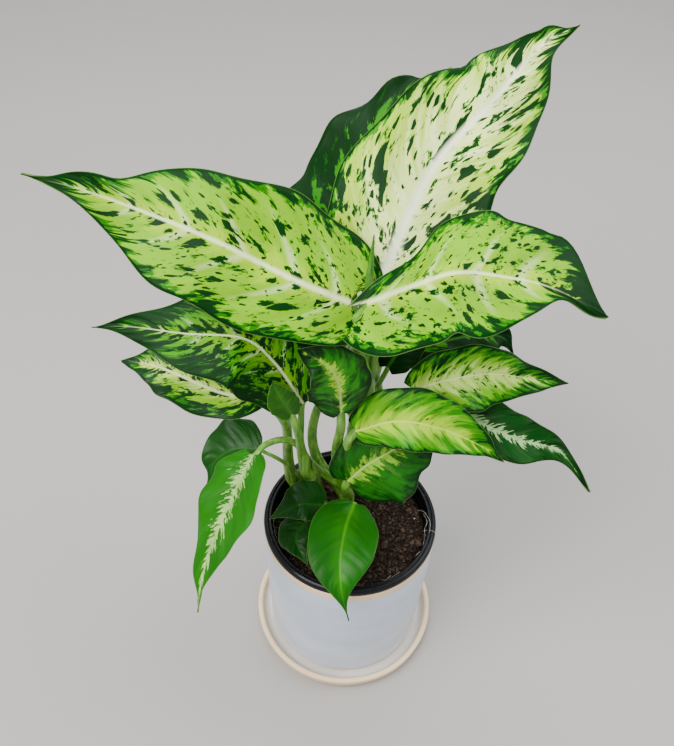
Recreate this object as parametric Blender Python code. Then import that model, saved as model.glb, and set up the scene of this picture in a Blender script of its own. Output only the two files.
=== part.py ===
"""Potted dieffenbachia: a glazed cover pot on its saucer, a nursery pot of soil inside it,
and a clump of young canes carrying broad variegated leaves.

Metres, +Z up. The origin is the middle of the saucer's flat underside, on the pot's axis.
+X is to the right and -Y is the plant's front. Plant places are written in millimetres.
"""

import math

import bmesh
import bpy
from mathutils import Quaternion, Vector

MM = 0.001
GAP = 0.3 * MM
ROUND_STEPS = 48

# Saucer and cover pot, both stoneware
SAUCER_RADIUS = 75 * MM
SAUCER_HEIGHT = 13 * MM
SAUCER_FLOOR = 6 * MM
SAUCER_WALL = 4.5 * MM
COVER_RADIUS = 66 * MM
COVER_FOOT_RADIUS = 62 * MM
COVER_WALL = 5 * MM
COVER_FLOOR = 7 * MM
COVER_FOOT = SAUCER_FLOOR + GAP
COVER_TOP = 136 * MM

# Nursery pot, thin moulded plastic, hung by its lip on the cover pot's rim
LIP_RADIUS = 66 * MM
LIP_HEIGHT = 5.5 * MM
LIP_SKIRT = 1.6 * MM
NURSERY_TOP = COVER_TOP + GAP + LIP_HEIGHT
NURSERY_WALL = 1.4 * MM
NURSERY_MOUTH = COVER_RADIUS - COVER_WALL - 0.8 * MM
NURSERY_FOOT_RADIUS = 47 * MM
NURSERY_BASE = COVER_FOOT + COVER_FLOOR + 4 * MM
DRAIN_RADIUS = 4 * MM
DRAIN_RING = 30 * MM
DRAIN_COUNT = 6

# Soil
SOIL_TOP = 130 * MM
SOIL_CROWN = 2 * MM
PLANTED = 22 * MM

# Leaves
BLADE_THICKNESS = 0.8 * MM
RIB_DEPTH = 1.8 * MM
PETIOLE_SECTIONS = (0.0, 0.22, 0.45, 0.68, 0.88)
BLADE_SECTIONS = (0.0, 0.035, 0.1, 0.2, 0.33, 0.47, 0.6, 0.72, 0.83, 0.93, 1.0)
ACROSS = (-1.0, -0.5, 0.0, 0.5, 1.0)
TIP_HALF_WIDTH = 0.6 * MM
LOBE_SPAN = 0.3


# ---------------------------------------------------------------- materials


def finish(name, colour, roughness, metallic=0.0):
    """A plain Principled material."""
    made = bpy.data.materials.new(name)
    made.use_nodes = True
    shader = made.node_tree.nodes["Principled BSDF"]
    shader.inputs["Base Color"].default_value = (*colour, 1.0)
    shader.inputs["Roughness"].default_value = roughness
    shader.inputs["Metallic"].default_value = metallic
    made.diffuse_color = (*colour, 1.0)
    return made


# ---------------------------------------------------------------- round pieces


def add_object(name, shape, material, smooth_angle=35.0):
    """Links a bmesh to the scene as one named object."""
    bmesh.ops.recalc_face_normals(shape, faces=shape.faces)
    mesh = bpy.data.meshes.new(name)
    shape.to_mesh(mesh)
    shape.free()
    mesh.materials.append(material)
    mesh.shade_smooth()
    mesh.set_sharp_from_angle(angle=math.radians(smooth_angle))
    piece = bpy.data.objects.new(name, mesh)
    bpy.context.scene.collection.objects.link(piece)
    return piece


def turned(name, profile, material, steps=ROUND_STEPS):
    """Spins an open profile of (radius, height) points, whose ends lie on the axis, into a solid."""
    shape = bmesh.new()
    corners = [shape.verts.new((radius, 0.0, height)) for radius, height in profile]
    edges = [shape.edges.new(pair) for pair in zip(corners, corners[1:])]
    bmesh.ops.spin(
        shape,
        geom=corners + edges,
        cent=(0.0, 0.0, 0.0),
        axis=(0.0, 0.0, 1.0),
        angle=math.tau,
        steps=steps,
        use_merge=True,
    )
    bmesh.ops.remove_doubles(shape, verts=shape.verts, dist=0.01 * MM)
    return add_object(name, shape, material)


def round_cutter(name, radius, centre, depth, tilt=None, sides=12):
    """A cylinder that is only used to cut, standing on its centre or lying along tilt."""
    shape = bmesh.new()
    bmesh.ops.create_cone(
        shape, cap_ends=True, segments=sides, radius1=radius, radius2=radius, depth=depth
    )
    cutter = add_object(name, shape, bpy.data.materials["potting_soil"])
    cutter.location = centre
    if tilt:
        cutter.rotation_mode = "QUATERNION"
        cutter.rotation_quaternion = tilt.to_track_quat("Z", "Y")
    cutter.hide_render = True
    cutter.display_type = "WIRE"
    return cutter


def cut(piece, cutter):
    """Takes the cutter's shape out of the piece."""
    modifier = piece.modifiers.new(cutter.name, "BOOLEAN")
    modifier.operation = "DIFFERENCE"
    modifier.object = cutter


def make_saucer(material):
    """A shallow dish with a straight low wall and a rounded rim."""
    inner = SAUCER_RADIUS - SAUCER_WALL
    return turned(
        "saucer",
        (
            (0.0, 0.0),
            (SAUCER_RADIUS - 6 * MM, 0.0),
            (SAUCER_RADIUS - 1.5 * MM, 3 * MM),
            (SAUCER_RADIUS, SAUCER_HEIGHT - 1.5 * MM),
            (SAUCER_RADIUS - 1.3 * MM, SAUCER_HEIGHT),
            (inner + 1.0 * MM, SAUCER_HEIGHT),
            (inner, SAUCER_HEIGHT - 1.2 * MM),
            (inner - 1.5 * MM, SAUCER_FLOOR + 1.2 * MM),
            (inner - 4 * MM, SAUCER_FLOOR),
            (0.0, SAUCER_FLOOR),
        ),
        material,
    )


def make_cover_pot(material):
    """A nearly straight-sided cylinder with a rounded foot and a flat rim."""
    inner = COVER_RADIUS - COVER_WALL
    floor = COVER_FOOT + COVER_FLOOR
    return turned(
        "cover_pot",
        (
            (0.0, COVER_FOOT),
            (COVER_FOOT_RADIUS - 4 * MM, COVER_FOOT),
            (COVER_FOOT_RADIUS - 0.8 * MM, COVER_FOOT + 1.6 * MM),
            (COVER_FOOT_RADIUS + 0.6 * MM, COVER_FOOT + 8 * MM),
            (COVER_RADIUS - 0.6 * MM, COVER_TOP - 40 * MM),
            (COVER_RADIUS, COVER_TOP - 1.2 * MM),
            (COVER_RADIUS - 1.2 * MM, COVER_TOP),
            (inner + 0.8 * MM, COVER_TOP),
            (inner, COVER_TOP - 0.8 * MM),
            (COVER_FOOT_RADIUS - COVER_WALL, floor + 4 * MM),
            (COVER_FOOT_RADIUS - COVER_WALL - 4 * MM, floor),
            (0.0, floor),
        ),
        material,
    )


def make_nursery_pot(material):
    """A thin tapered tub, with a lip that rests on the cover pot and holes in its floor."""
    top = NURSERY_TOP
    mouth_in = NURSERY_MOUTH - NURSERY_WALL
    foot_in = NURSERY_FOOT_RADIUS - NURSERY_WALL
    pot = turned(
        "nursery_pot",
        (
            (0.0, NURSERY_BASE),
            (NURSERY_FOOT_RADIUS - 1.5 * MM, NURSERY_BASE),
            (NURSERY_FOOT_RADIUS, NURSERY_BASE + 1.5 * MM),
            (NURSERY_MOUTH, COVER_TOP - 3 * MM),
            (NURSERY_MOUTH, COVER_TOP + GAP),
            (LIP_RADIUS - LIP_SKIRT, COVER_TOP + GAP),
            (LIP_RADIUS, COVER_TOP + GAP + 0.6 * MM),
            (LIP_RADIUS - 0.2 * MM, top - 1.2 * MM),
            (LIP_RADIUS - 1.6 * MM, top),
            (LIP_RADIUS - 3.4 * MM, top),
            (mouth_in + 0.4 * MM, top - 2.2 * MM),
            (mouth_in, COVER_TOP - 3 * MM),
            (foot_in, NURSERY_BASE + 2.4 * MM),
            (foot_in - 1.2 * MM, NURSERY_BASE + NURSERY_WALL),
            (0.0, NURSERY_BASE + NURSERY_WALL),
        ),
        material,
    )
    for index in range(DRAIN_COUNT):
        angle = math.tau * index / DRAIN_COUNT
        centre = (
            DRAIN_RING * math.cos(angle),
            DRAIN_RING * math.sin(angle),
            NURSERY_BASE,
        )
        cut(pot, round_cutter(f"drain_{index + 1}", DRAIN_RADIUS, centre, 8 * MM))
    return pot


def make_soil(material, canes):
    """The root ball, filling the nursery pot, with a hole where each cane stands in it."""
    clear = GAP
    mouth = NURSERY_MOUTH - NURSERY_WALL - clear
    foot = NURSERY_FOOT_RADIUS - NURSERY_WALL - 1.2 * MM - clear
    base = NURSERY_BASE + NURSERY_WALL + clear
    slope = (mouth - foot) / (COVER_TOP - 3 * MM - base)
    shoulder = mouth - slope * (COVER_TOP - 3 * MM - SOIL_TOP)
    soil = turned(
        "potting_soil",
        (
            (0.0, base),
            (foot - 1.5 * MM, base),
            (foot, base + 2.5 * MM),
            (shoulder, SOIL_TOP - 1.0 * MM),
            (shoulder - 5 * MM, SOIL_TOP + 0.4 * MM),
            (shoulder * 0.5, SOIL_TOP + SOIL_CROWN * 0.8),
            (0.0, SOIL_TOP + SOIL_CROWN),
        ),
        material,
    )
    for cane in canes:
        foot_point, next_point = cane.foot()
        lean = (next_point - foot_point).normalized()
        middle = foot_point + lean * 15 * MM
        hole = round_cutter(
            f"hole_{cane.name}", cane.radius + 0.9 * MM, middle, 36 * MM, lean, sides=10
        )
        cut(soil, hole)
    return soil


# ---------------------------------------------------------------- smooth lines


def points_mm(*triples):
    """Millimetre triples as vectors in metres."""
    return [Vector(triple) * MM for triple in triples]


def through(points, share):
    """A point on the smooth Catmull-Rom line through the points, with share from 0 to 1."""
    spans = len(points) - 1
    place = min(share * spans, spans - 1e-9)
    index = int(place)
    t = place - index
    here, there = points[index], points[index + 1]
    before = points[index - 1] if index else here * 2 - there
    after = points[index + 2] if index + 2 <= spans else there * 2 - here
    return 0.5 * (
        here * 2
        + (there - before) * t
        + (before * 2 - here * 5 + there * 4 - after) * t**2
        + (here * 3 - before - there * 3 + after) * t**3
    )


def bezier(a, b, c, d, t):
    """A point on a cubic Bezier curve."""
    s = 1.0 - t
    return a * s**3 + b * (3 * s * s * t) + c * (3 * s * t * t) + d * t**3


def smoothstep(low, high, value):
    t = min(max((value - low) / (high - low), 0.0), 1.0)
    return t * t * (3 - 2 * t)


# ---------------------------------------------------------------- canes and leaves


class Cane:
    """An upright stem, from its foot in the soil to its growing tip."""

    sections = 7
    sides = 10

    def __init__(self, name, radius, *line):
        self.name = name
        self.radius = radius * MM
        self.line = points_mm(*line)

    def foot(self):
        start, after = self.line[0], through(self.line, 0.08)
        lean = (after - start).normalized()
        return start - lean * PLANTED, after

    def at_height(self, height):
        """The point of the cane's middle line at this height in metres."""
        low, high = 0.0, 1.0
        for _ in range(30):
            middle = (low + high) / 2
            if through(self.line, middle).z < height:
                low = middle
            else:
                high = middle
        return through(self.line, low)

    def radius_at(self, height):
        foot, tip = self.line[0].z, self.line[-1].z
        share = min(max((height - foot) / (tip - foot), 0.0), 1.0)
        return self.radius * (1.0 - 0.35 * share)

    def build(self, material):
        foot, _ = self.foot()
        middles = [foot] + [
            through(self.line, index / self.sections)
            for index in range(self.sections + 1)
        ]
        shape = bmesh.new()
        rings = []
        for index, middle in enumerate(middles):
            before = middles[max(index - 1, 0)]
            after = middles[min(index + 1, len(middles) - 1)]
            along = (after - before).normalized()
            side = along.cross(Vector((0.0, 1.0, 0.0))).normalized()
            front = side.cross(along)
            radius = self.radius_at(middle.z)
            if index == len(middles) - 1:
                radius *= 0.55
            ring = []
            for step in range(self.sides):
                angle = math.tau * step / self.sides
                offset = side * math.cos(angle) + front * math.sin(angle)
                ring.append(shape.verts.new(middle + offset * radius))
            rings.append(ring)
        close_round(shape, rings)
        return add_object(self.name, shape, material)


class Leaf:
    """A leaf blade with its stalk, the petiole, grown as one piece.

    at: the height where the petiole leaves its cane. midrib: the blade's middle line from
    its base to its tip. width: the blade at its widest. face: the way its upper side looks.
    All of these are in millimetres. side: the way the petiole leaves the cane. bow: how far
    the petiole's middle is pushed aside. widest: below 0.7 the widest place moves to the base.
    skew: how much nearer the base it lies on the plus side than on the other. taper: how
    strongly the tip is drawn out. uneven: the share the plus side is wider by. twist: turn
    of the tip about the midrib, in degrees. fold: rise of the margins beside the midrib, as
    a share of the half width. lobes: how far the base reaches back past the petiole. skin:
    the name of its material.
    """

    def __init__(
        self, name, cane, at, midrib, width, face, side=None, bow=(0, 0, 0), stalk=2.2,
        widest=0.66, skew=0.0, taper=0.6, uneven=0.0, twist=0.0, fold=0.12, lobes=6.0,
        skin="leaf_lime",
    ):
        self.name = name
        self.cane = cane
        self.attach_height = at * MM
        self.midrib = points_mm(*midrib)
        self.half_width = width * MM / 2
        self.face = Vector(face).normalized()
        self.side = side
        self.bow = Vector(bow) * MM
        self.stalk = stalk * MM
        self.widest = widest
        self.skew = skew
        self.taper = taper
        self.uneven = uneven
        self.twist = math.radians(twist)
        self.fold = fold
        self.lobes = lobes * MM
        self.skin = skin

    def petiole(self, share):
        """The stalk's middle line, from beside the cane to the blade's base."""
        core = self.cane.at_height(self.attach_height)
        base = self.midrib[0]
        outward = Vector((*self.side, 0.0)) if self.side else base - core
        outward.z = 0.0
        outward.normalize()
        reach = self.cane.radius_at(self.attach_height) + self.stalk + 3 * GAP
        start = core + outward * reach
        climb = (base - start).length
        rise = Vector((0.0, 0.0, climb * 0.4)) + outward * climb * 0.06 + self.bow
        ahead = (self.midrib[1] - base).normalized()
        arrive = (ahead * 0.8 + Vector((0.0, 0.0, 0.6))).normalized() * climb * 0.3
        return bezier(start, start + rise, base - arrive + self.bow * 0.5, base, share)

    def half_width_at(self, share, u):
        """An egg-shaped outline drawn out to a point, on the side that u lies on."""
        which = math.copysign(1.0, u)
        rounded = math.sin(math.pi * share ** (self.widest + self.skew * which)) ** 0.75
        drawn_out = 1.0 - self.taper * smoothstep(0.45, 1.0, share)
        half = self.half_width * (1.0 - self.uneven * which)
        return max(half * rounded * drawn_out, TIP_HALF_WIDTH)

    def frame(self, share):
        """The blade's middle, its way along, its plus side and its upper side."""
        middle = through(self.midrib, share)
        before = through(self.midrib, max(share - 0.03, 0.0))
        after = through(self.midrib, min(share + 0.03, 1.0))
        along = (after - before).normalized()
        side = along.cross(self.face).normalized()
        side.rotate(Quaternion(along, self.twist * share * share))
        return middle, along, side, side.cross(along)

    def blade_ring(self, share):
        """The ten corners round one section of the blade, upper side first."""
        middle, along, side, up = self.frame(share)
        thick = BLADE_THICKNESS / 2
        rib = RIB_DEPTH * (1.0 - share) ** 1.5
        back = self.lobes * max(0.0, 1.0 - share / LOBE_SPAN) ** 2
        upper, lower = [], []
        for u in ACROSS:
            wide = self.half_width_at(share, u)
            if share == 0.0:
                wide = self.stalk * 1.4
                back = 0.0
            place = middle - side * (u * wide) + up * (self.fold * abs(u) * wide)
            place -= along * (back * abs(u))
            upper.append(place + up * thick)
            lower.append(place - up * (thick + rib * (1.0 - abs(u)) ** 2))
        return upper + lower[::-1]

    def petiole_rings(self):
        """Round sections up the stalk, turned so that they meet the blade's first section."""
        middles = [self.petiole(share) for share in PETIOLE_SECTIONS] + [self.midrib[0]]
        kept = self.frame(0.0)[2]
        rings = []
        for index in range(len(PETIOLE_SECTIONS) - 1, -1, -1):
            along = (middles[index + 1] - middles[max(index - 1, 0)]).normalized()
            kept = (kept - along * kept.dot(along)).normalized()
            up = kept.cross(along)
            rings.append(
                [
                    middles[index]
                    + (kept * math.cos(angle) + up * math.sin(angle)) * self.stalk
                    for angle in ring_angles()
                ]
            )
        return rings[::-1]

    def build(self):
        shape = bmesh.new()
        rings = self.petiole_rings() + [self.blade_ring(share) for share in BLADE_SECTIONS]
        close_round(shape, [[shape.verts.new(place) for place in ring] for ring in rings])
        return add_object(self.name, shape, bpy.data.materials[self.skin], smooth_angle=60.0)


def ring_angles():
    """Even angles round a stalk, starting at the plus side of its upper half."""
    count = 2 * len(ACROSS)
    return [math.tau * (step + 0.5) / count for step in range(count)]


def close_round(shape, rings):
    """Joins each ring of corners to the next and closes both ends."""
    count = len(rings[0])
    for near, far in zip(rings, rings[1:]):
        for step in range(count):
            after = (step + 1) % count
            shape.faces.new((near[step], near[after], far[after], far[step]))
    shape.faces.new(rings[0])
    shape.faces.new(rings[-1][::-1])


# ---------------------------------------------------------------- the plant

MAIN = Cane("cane_main", 5.0, (-4, 24, 130), (-3, 20, 190), (-1, 14, 250), (0, 11, 300))
LEFT = Cane("cane_left", 5.0, (-36, 30, 130), (-46, 22, 180), (-54, 12, 225))
LEFT_FRONT = Cane("cane_left_front", 4.5, (-21, 18, 130), (-29, 12, 175), (-34, 6, 212))
RIGHT = Cane("cane_right", 4.5, (14, 24, 130), (16, 24, 175), (19, 22, 222))
BACK = Cane("cane_back", 4.5, (3, 45, 130), (6, 44, 190), (10, 41, 240))
FRONT = Cane("cane_front", 3.5, (-7, -6, 130), (-8, -8, 146), (-9, -9, 158))
CANES = (MAIN, LEFT, LEFT_FRONT, RIGHT, BACK, FRONT)

LEAVES = (
    Leaf(
        "leaf_top_left", MAIN, 255,
        ((-9, 0, 354), (-42, -2, 371), (-84, 4, 390), (-127, 17, 399), (-166, 33, 401),
         (-203, 48, 399)),
        width=88, face=(0.2, -0.6, 0.77), side=(-0.9, -0.4), stalk=3.0,
        widest=0.58, skew=0.05, taper=0.9, twist=-40, fold=0.05, lobes=9,
    ),
    Leaf(
        "leaf_top_tall", MAIN, 280,
        ((8, 16, 356), (16, 28, 375), (36, 59, 410), (72, 95, 437), (96, 121, 455),
         (120, 134, 464)),
        width=84, face=(-0.25, -0.6, 0.75), side=(0.8, 0.5), stalk=3.0, taper=0.7, lobes=9,
        skin="leaf_cream",
    ),
    Leaf(
        "leaf_top_back", MAIN, 268,
        ((-8, 20, 345), (-12, 62, 360), (-2, 112, 384), (24, 158, 404), (54, 180, 410)),
        width=82, face=(-0.35, -0.35, 0.87), side=(-0.5, 0.85), stalk=2.8, lobes=8,
        skin="leaf_dark",
    ),
    Leaf(
        "leaf_top_right", MAIN, 238,
        ((0, -9, 362), (24, -12, 378), (46, -14, 390), (70, -17, 391), (98, -16, 384),
         (134, -14, 364)),
        width=88, face=(0.0, -0.3, 0.95), side=(0.6, -0.8), stalk=3.0,
        widest=0.92, skew=0.32, taper=0.5, uneven=0.08, fold=0.05, lobes=5,
    ),
    Leaf(
        "leaf_mid_left_upper", LEFT_FRONT, 200,
        ((-36, -2, 268), (-54, 0, 302), (-73, 2, 320), (-109, 5, 319), (-144, 9, 319),
         (-167, 8, 318)),
        width=64, face=(0.0, -0.64, 0.77), side=(0.2, 1.0), widest=0.62, taper=0.8, lobes=7,
    ),
    Leaf(
        "leaf_mid_left_lower", LEFT, 212,
        ((-64, -1, 270), (-89, -3, 276), (-120, 5, 284), (-138, 11, 285), (-156, 15, 282)),
        width=38, face=(0.0, -0.5, 0.87), side=(-0.8, 0.6), widest=0.7, taper=0.3, lobes=5,
    ),
    Leaf(
        "leaf_young_left", LEFT, 219,
        ((-43, -12, 268), (-50, -10, 281), (-55, -7, 292)),
        width=18, face=(0.2, -0.8, 0.5), side=(0.8, -0.6), stalk=1.4, lobes=2,
        skin="leaf_green",
    ),
    Leaf(
        "leaf_low_left_hanging", LEFT_FRONT, 186,
        ((-68, -20, 235), (-76, -36, 227), (-86, -54, 207), (-97, -72, 181), (-102, -92, 153)),
        width=46, face=(-0.6, -0.6, 0.4), side=(-0.8, -0.6), bow=(4, 0, 20), lobes=4,
        skin="leaf_green",
    ),
    Leaf(
        "leaf_low_left_dark", LEFT, 180,
        ((-65, -2, 218), (-84, 0, 215), (-99, -3, 203), (-104, -11, 185)),
        width=44, face=(-0.2, -0.4, 0.87), side=(-1.0, -0.1), widest=0.6, taper=0.8, lobes=1,
        skin="leaf_dark",
    ),
    Leaf(
        "leaf_mid_front", MAIN, 222,
        ((-11, -11, 271), (-14, -13, 300), (-22, -14, 317), (-39, -11, 325)),
        width=42, face=(0.2, -0.85, 0.5), side=(-0.6, -0.8), widest=0.75, taper=0.3, lobes=5,
        skin="leaf_green",
    ),
    Leaf(
        "leaf_mid_right", RIGHT, 208,
        ((35, 6, 277), (53, 1, 292), (79, 1, 300), (105, 1, 298), (132, 4, 292)),
        width=42, face=(0.1, -0.7, 0.7), side=(0.9, -0.4), taper=0.4, uneven=0.08, lobes=7,
    ),
    Leaf(
        "leaf_mid_right_front", MAIN, 224,
        ((-1, -9, 251), (24, -18, 273), (51, -24, 275), (77, -30, 267), (93, -33, 256)),
        width=40, face=(0.05, -0.7, 0.7), side=(0.2, -1.0), widest=0.62, uneven=-0.1, lobes=5,
    ),
    Leaf(
        "leaf_right_outer", BACK, 215,
        ((49, 9, 261), (77, -4, 261), (105, -15, 257), (133, -17, 249), (157, -29, 223)),
        width=35, face=(0.1, -0.6, 0.75), side=(0.9, -0.3), widest=0.62, lobes=5,
        skin="leaf_dark",
    ),
    Leaf(
        "leaf_low_right", MAIN, 158,
        ((-4, -6, 192), (10, -8, 217), (31, -6, 235), (56, 0, 239)),
        width=50, face=(0.05, -0.8, 0.6), side=(0.3, -1.0), widest=0.8, taper=0.2, uneven=0.2, lobes=4,
        skin="leaf_green",
    ),
    Leaf(
        "leaf_mid_back_right", BACK, 228,
        ((14, 34, 283), (48, 40, 288), (80, 50, 288), (98, 52, 284), (105, 48, 274)),
        width=38, face=(0.0, -0.5, 0.87), side=(1.0, 0.0),
        skin="leaf_dark",
    ),
    Leaf(
        "leaf_mid_back", BACK, 224,
        ((18, 18, 285), (25, 21, 299), (36, 28, 313), (48, 35, 319)),
        width=28, face=(0.0, -0.6, 0.8), side=(0.1, -1.0), stalk=1.8, lobes=4,
        skin="leaf_dark",
    ),
    Leaf(
        "leaf_low_front", FRONT, 143,
        ((2, -8, 168), (-4, -31, 170), (-7, -55, 166), (-5, -73, 155), (1, -83, 134)),
        width=50, face=(0.0, -0.4, 0.9), side=(0.9, -0.4), widest=0.6, taper=0.9, lobes=3,
        skin="leaf_green",
    ),
    Leaf(
        "leaf_low_front_left", LEFT_FRONT, 140,
        ((-20, -6, 162), (-38, -12, 169), (-60, -14, 152)),
        width=30, face=(-0.1, -0.5, 0.85), side=(-0.1, -1.0), stalk=1.8, uneven=0.15, lobes=2,
        skin="leaf_dark",
    ),
    Leaf(
        "leaf_low_front_under", FRONT, 137,
        ((-31, -8, 149), (-40, -24, 143), (-30, -42, 136)),
        width=28, face=(-0.1, -0.1, 0.98), side=(-1.0, 0.1), stalk=1.5, lobes=3,
        skin="leaf_dark",
    ),
    Leaf(
        "leaf_back_left", BACK, 205,
        ((-8, 66, 262), (-28, 88, 280), (-52, 108, 284), (-74, 122, 276)),
        width=46, face=(0.1, 0.3, 0.95), side=(-0.8, 0.6),
        skin="leaf_dark",
    ),
    Leaf(
        "leaf_back_right", BACK, 196,
        ((20, 70, 250), (40, 88, 268), (62, 106, 272), (84, 118, 262)),
        width=44, face=(0.0, 0.35, 0.93), side=(0.6, 0.8),
        skin="leaf_dark",
    ),
)


def make_new_leaf(material):
    """The next leaf, still rolled up tight, standing on the main cane's growing tip."""
    foot = MAIN.line[-1] + Vector((0.0, 0.0, GAP))
    heights = (0.0, 12.0, 45.0, 72.0, 88.0, 94.0)
    radii = (2.6, 2.9, 2.7, 2.0, 1.0, 0.4)
    shape = bmesh.new()
    rings = []
    for height, radius in zip(heights, radii):
        middle = foot + Vector((height * 0.02, 0.0, height)) * MM
        rings.append(
            [
                shape.verts.new(
                    middle
                    + Vector((math.cos(angle), math.sin(angle), 0.0)) * (radius * MM)
                )
                for angle in ring_angles()
            ]
        )
    close_round(shape, rings)
    return add_object("new_leaf", shape, material)


def main():
    for old in list(bpy.data.objects):
        bpy.data.objects.remove(old)
    stoneware = finish("stoneware", (0.78, 0.78, 0.76), 0.3)
    plastic = finish("nursery_plastic", (0.03, 0.03, 0.035), 0.4)
    soil = finish("potting_soil", (0.06, 0.035, 0.022), 0.95)
    cane_skin = finish("cane_skin", (0.22, 0.38, 0.10), 0.5)
    finish("leaf_lime", (0.45, 0.72, 0.12), 0.4)
    finish("leaf_cream", (0.75, 0.85, 0.45), 0.4)
    finish("leaf_green", (0.16, 0.40, 0.06), 0.4)
    finish("leaf_dark", (0.04, 0.16, 0.03), 0.4)
    rolled = finish("leaf_rolled", (0.10, 0.32, 0.05), 0.45)
    make_saucer(stoneware)
    make_cover_pot(stoneware)
    make_nursery_pot(plastic)
    make_soil(soil, CANES)
    for cane in CANES:
        cane.build(cane_skin)
    for leaf in LEAVES:
        leaf.build()
    make_new_leaf(rolled)


main()
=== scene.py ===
# %% [markdown]
# # A potted dieffenbachia
# This lesson builds a houseplant on its frame: a clump of young canes, some twenty broad leaves
# splashed with cream, lime and dark green, a black nursery pot full of peat, and the glazed
# cover pot and saucer it stands in. The frame holds plain solids in the right places. Here each
# solid gets the shape and the finish that make it look alive.

import math
from types import SimpleNamespace

import bpy
import numpy as np
from mathutils import Matrix, Quaternion, Vector, noise


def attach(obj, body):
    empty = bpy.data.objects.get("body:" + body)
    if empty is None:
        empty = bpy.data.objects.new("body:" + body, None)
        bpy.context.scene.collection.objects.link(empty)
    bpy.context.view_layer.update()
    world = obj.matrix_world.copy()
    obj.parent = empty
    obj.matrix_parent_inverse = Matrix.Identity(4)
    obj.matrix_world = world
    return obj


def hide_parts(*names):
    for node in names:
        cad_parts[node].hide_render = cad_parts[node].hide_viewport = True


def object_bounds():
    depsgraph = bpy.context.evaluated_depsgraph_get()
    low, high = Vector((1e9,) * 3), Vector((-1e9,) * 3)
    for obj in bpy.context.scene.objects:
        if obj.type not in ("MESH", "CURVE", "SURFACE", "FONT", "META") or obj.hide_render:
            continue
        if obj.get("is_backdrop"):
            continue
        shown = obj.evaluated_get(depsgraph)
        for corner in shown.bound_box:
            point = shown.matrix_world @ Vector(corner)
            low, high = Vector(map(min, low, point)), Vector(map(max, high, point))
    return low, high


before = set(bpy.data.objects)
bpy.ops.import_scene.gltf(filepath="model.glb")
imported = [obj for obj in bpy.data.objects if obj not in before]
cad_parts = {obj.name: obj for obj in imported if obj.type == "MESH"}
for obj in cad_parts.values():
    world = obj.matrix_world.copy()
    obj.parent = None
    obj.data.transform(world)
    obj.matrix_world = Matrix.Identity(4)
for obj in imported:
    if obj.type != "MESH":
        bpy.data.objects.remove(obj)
cad_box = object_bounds()
print("frame:", len(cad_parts), "nodes, box", [[round(x, 3) for x in c] for c in cad_box])

# %% [markdown]
# ## The camera
# A plant on a low stand is looked down on, from about arm's length. The camera is placed by its
# distance and its pitch, and rolled a little, as a hand-held one is. It could be aimed with a
# Track To constraint, but three plain axes make the roll easy to read.

# %% Camera
MM = 0.001
CAMERA_PLACE = Vector((-15, -352, 654)) * MM
CAMERA_PITCH = math.radians(45.5)
CAMERA_ROLL = math.radians(2.6)
LENS_MM = 38.6

ahead = Vector((0.0, math.cos(CAMERA_PITCH), -math.sin(CAMERA_PITCH)))
level = Vector((1.0, 0.0, 0.0))
above = level.cross(ahead)
right = level * math.cos(CAMERA_ROLL) + above * math.sin(CAMERA_ROLL)
up = above * math.cos(CAMERA_ROLL) - level * math.sin(CAMERA_ROLL)
lens = bpy.data.cameras.new("camera")
lens.lens = LENS_MM
lens.clip_start = 0.01
camera = bpy.data.objects.new("camera", lens)
turned = Matrix((right, up, -ahead)).transposed().to_4x4()
camera.matrix_world = Matrix.Translation(CAMERA_PLACE) @ turned
bpy.context.scene.collection.objects.link(camera)
bpy.context.scene.camera = camera
print("camera", tuple(round(x, 3) for x in CAMERA_PLACE), "lens", LENS_MM)

# %% [markdown]
# ## Small tools for node trees
# Every material and every Geometry Nodes tree below is built by the same few calls. A node tree
# could be written out link by link, but then the idea of a pattern drowns in link lines. This
# little class adds a node, plugs in whatever it is given, and hands back the output.


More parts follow.
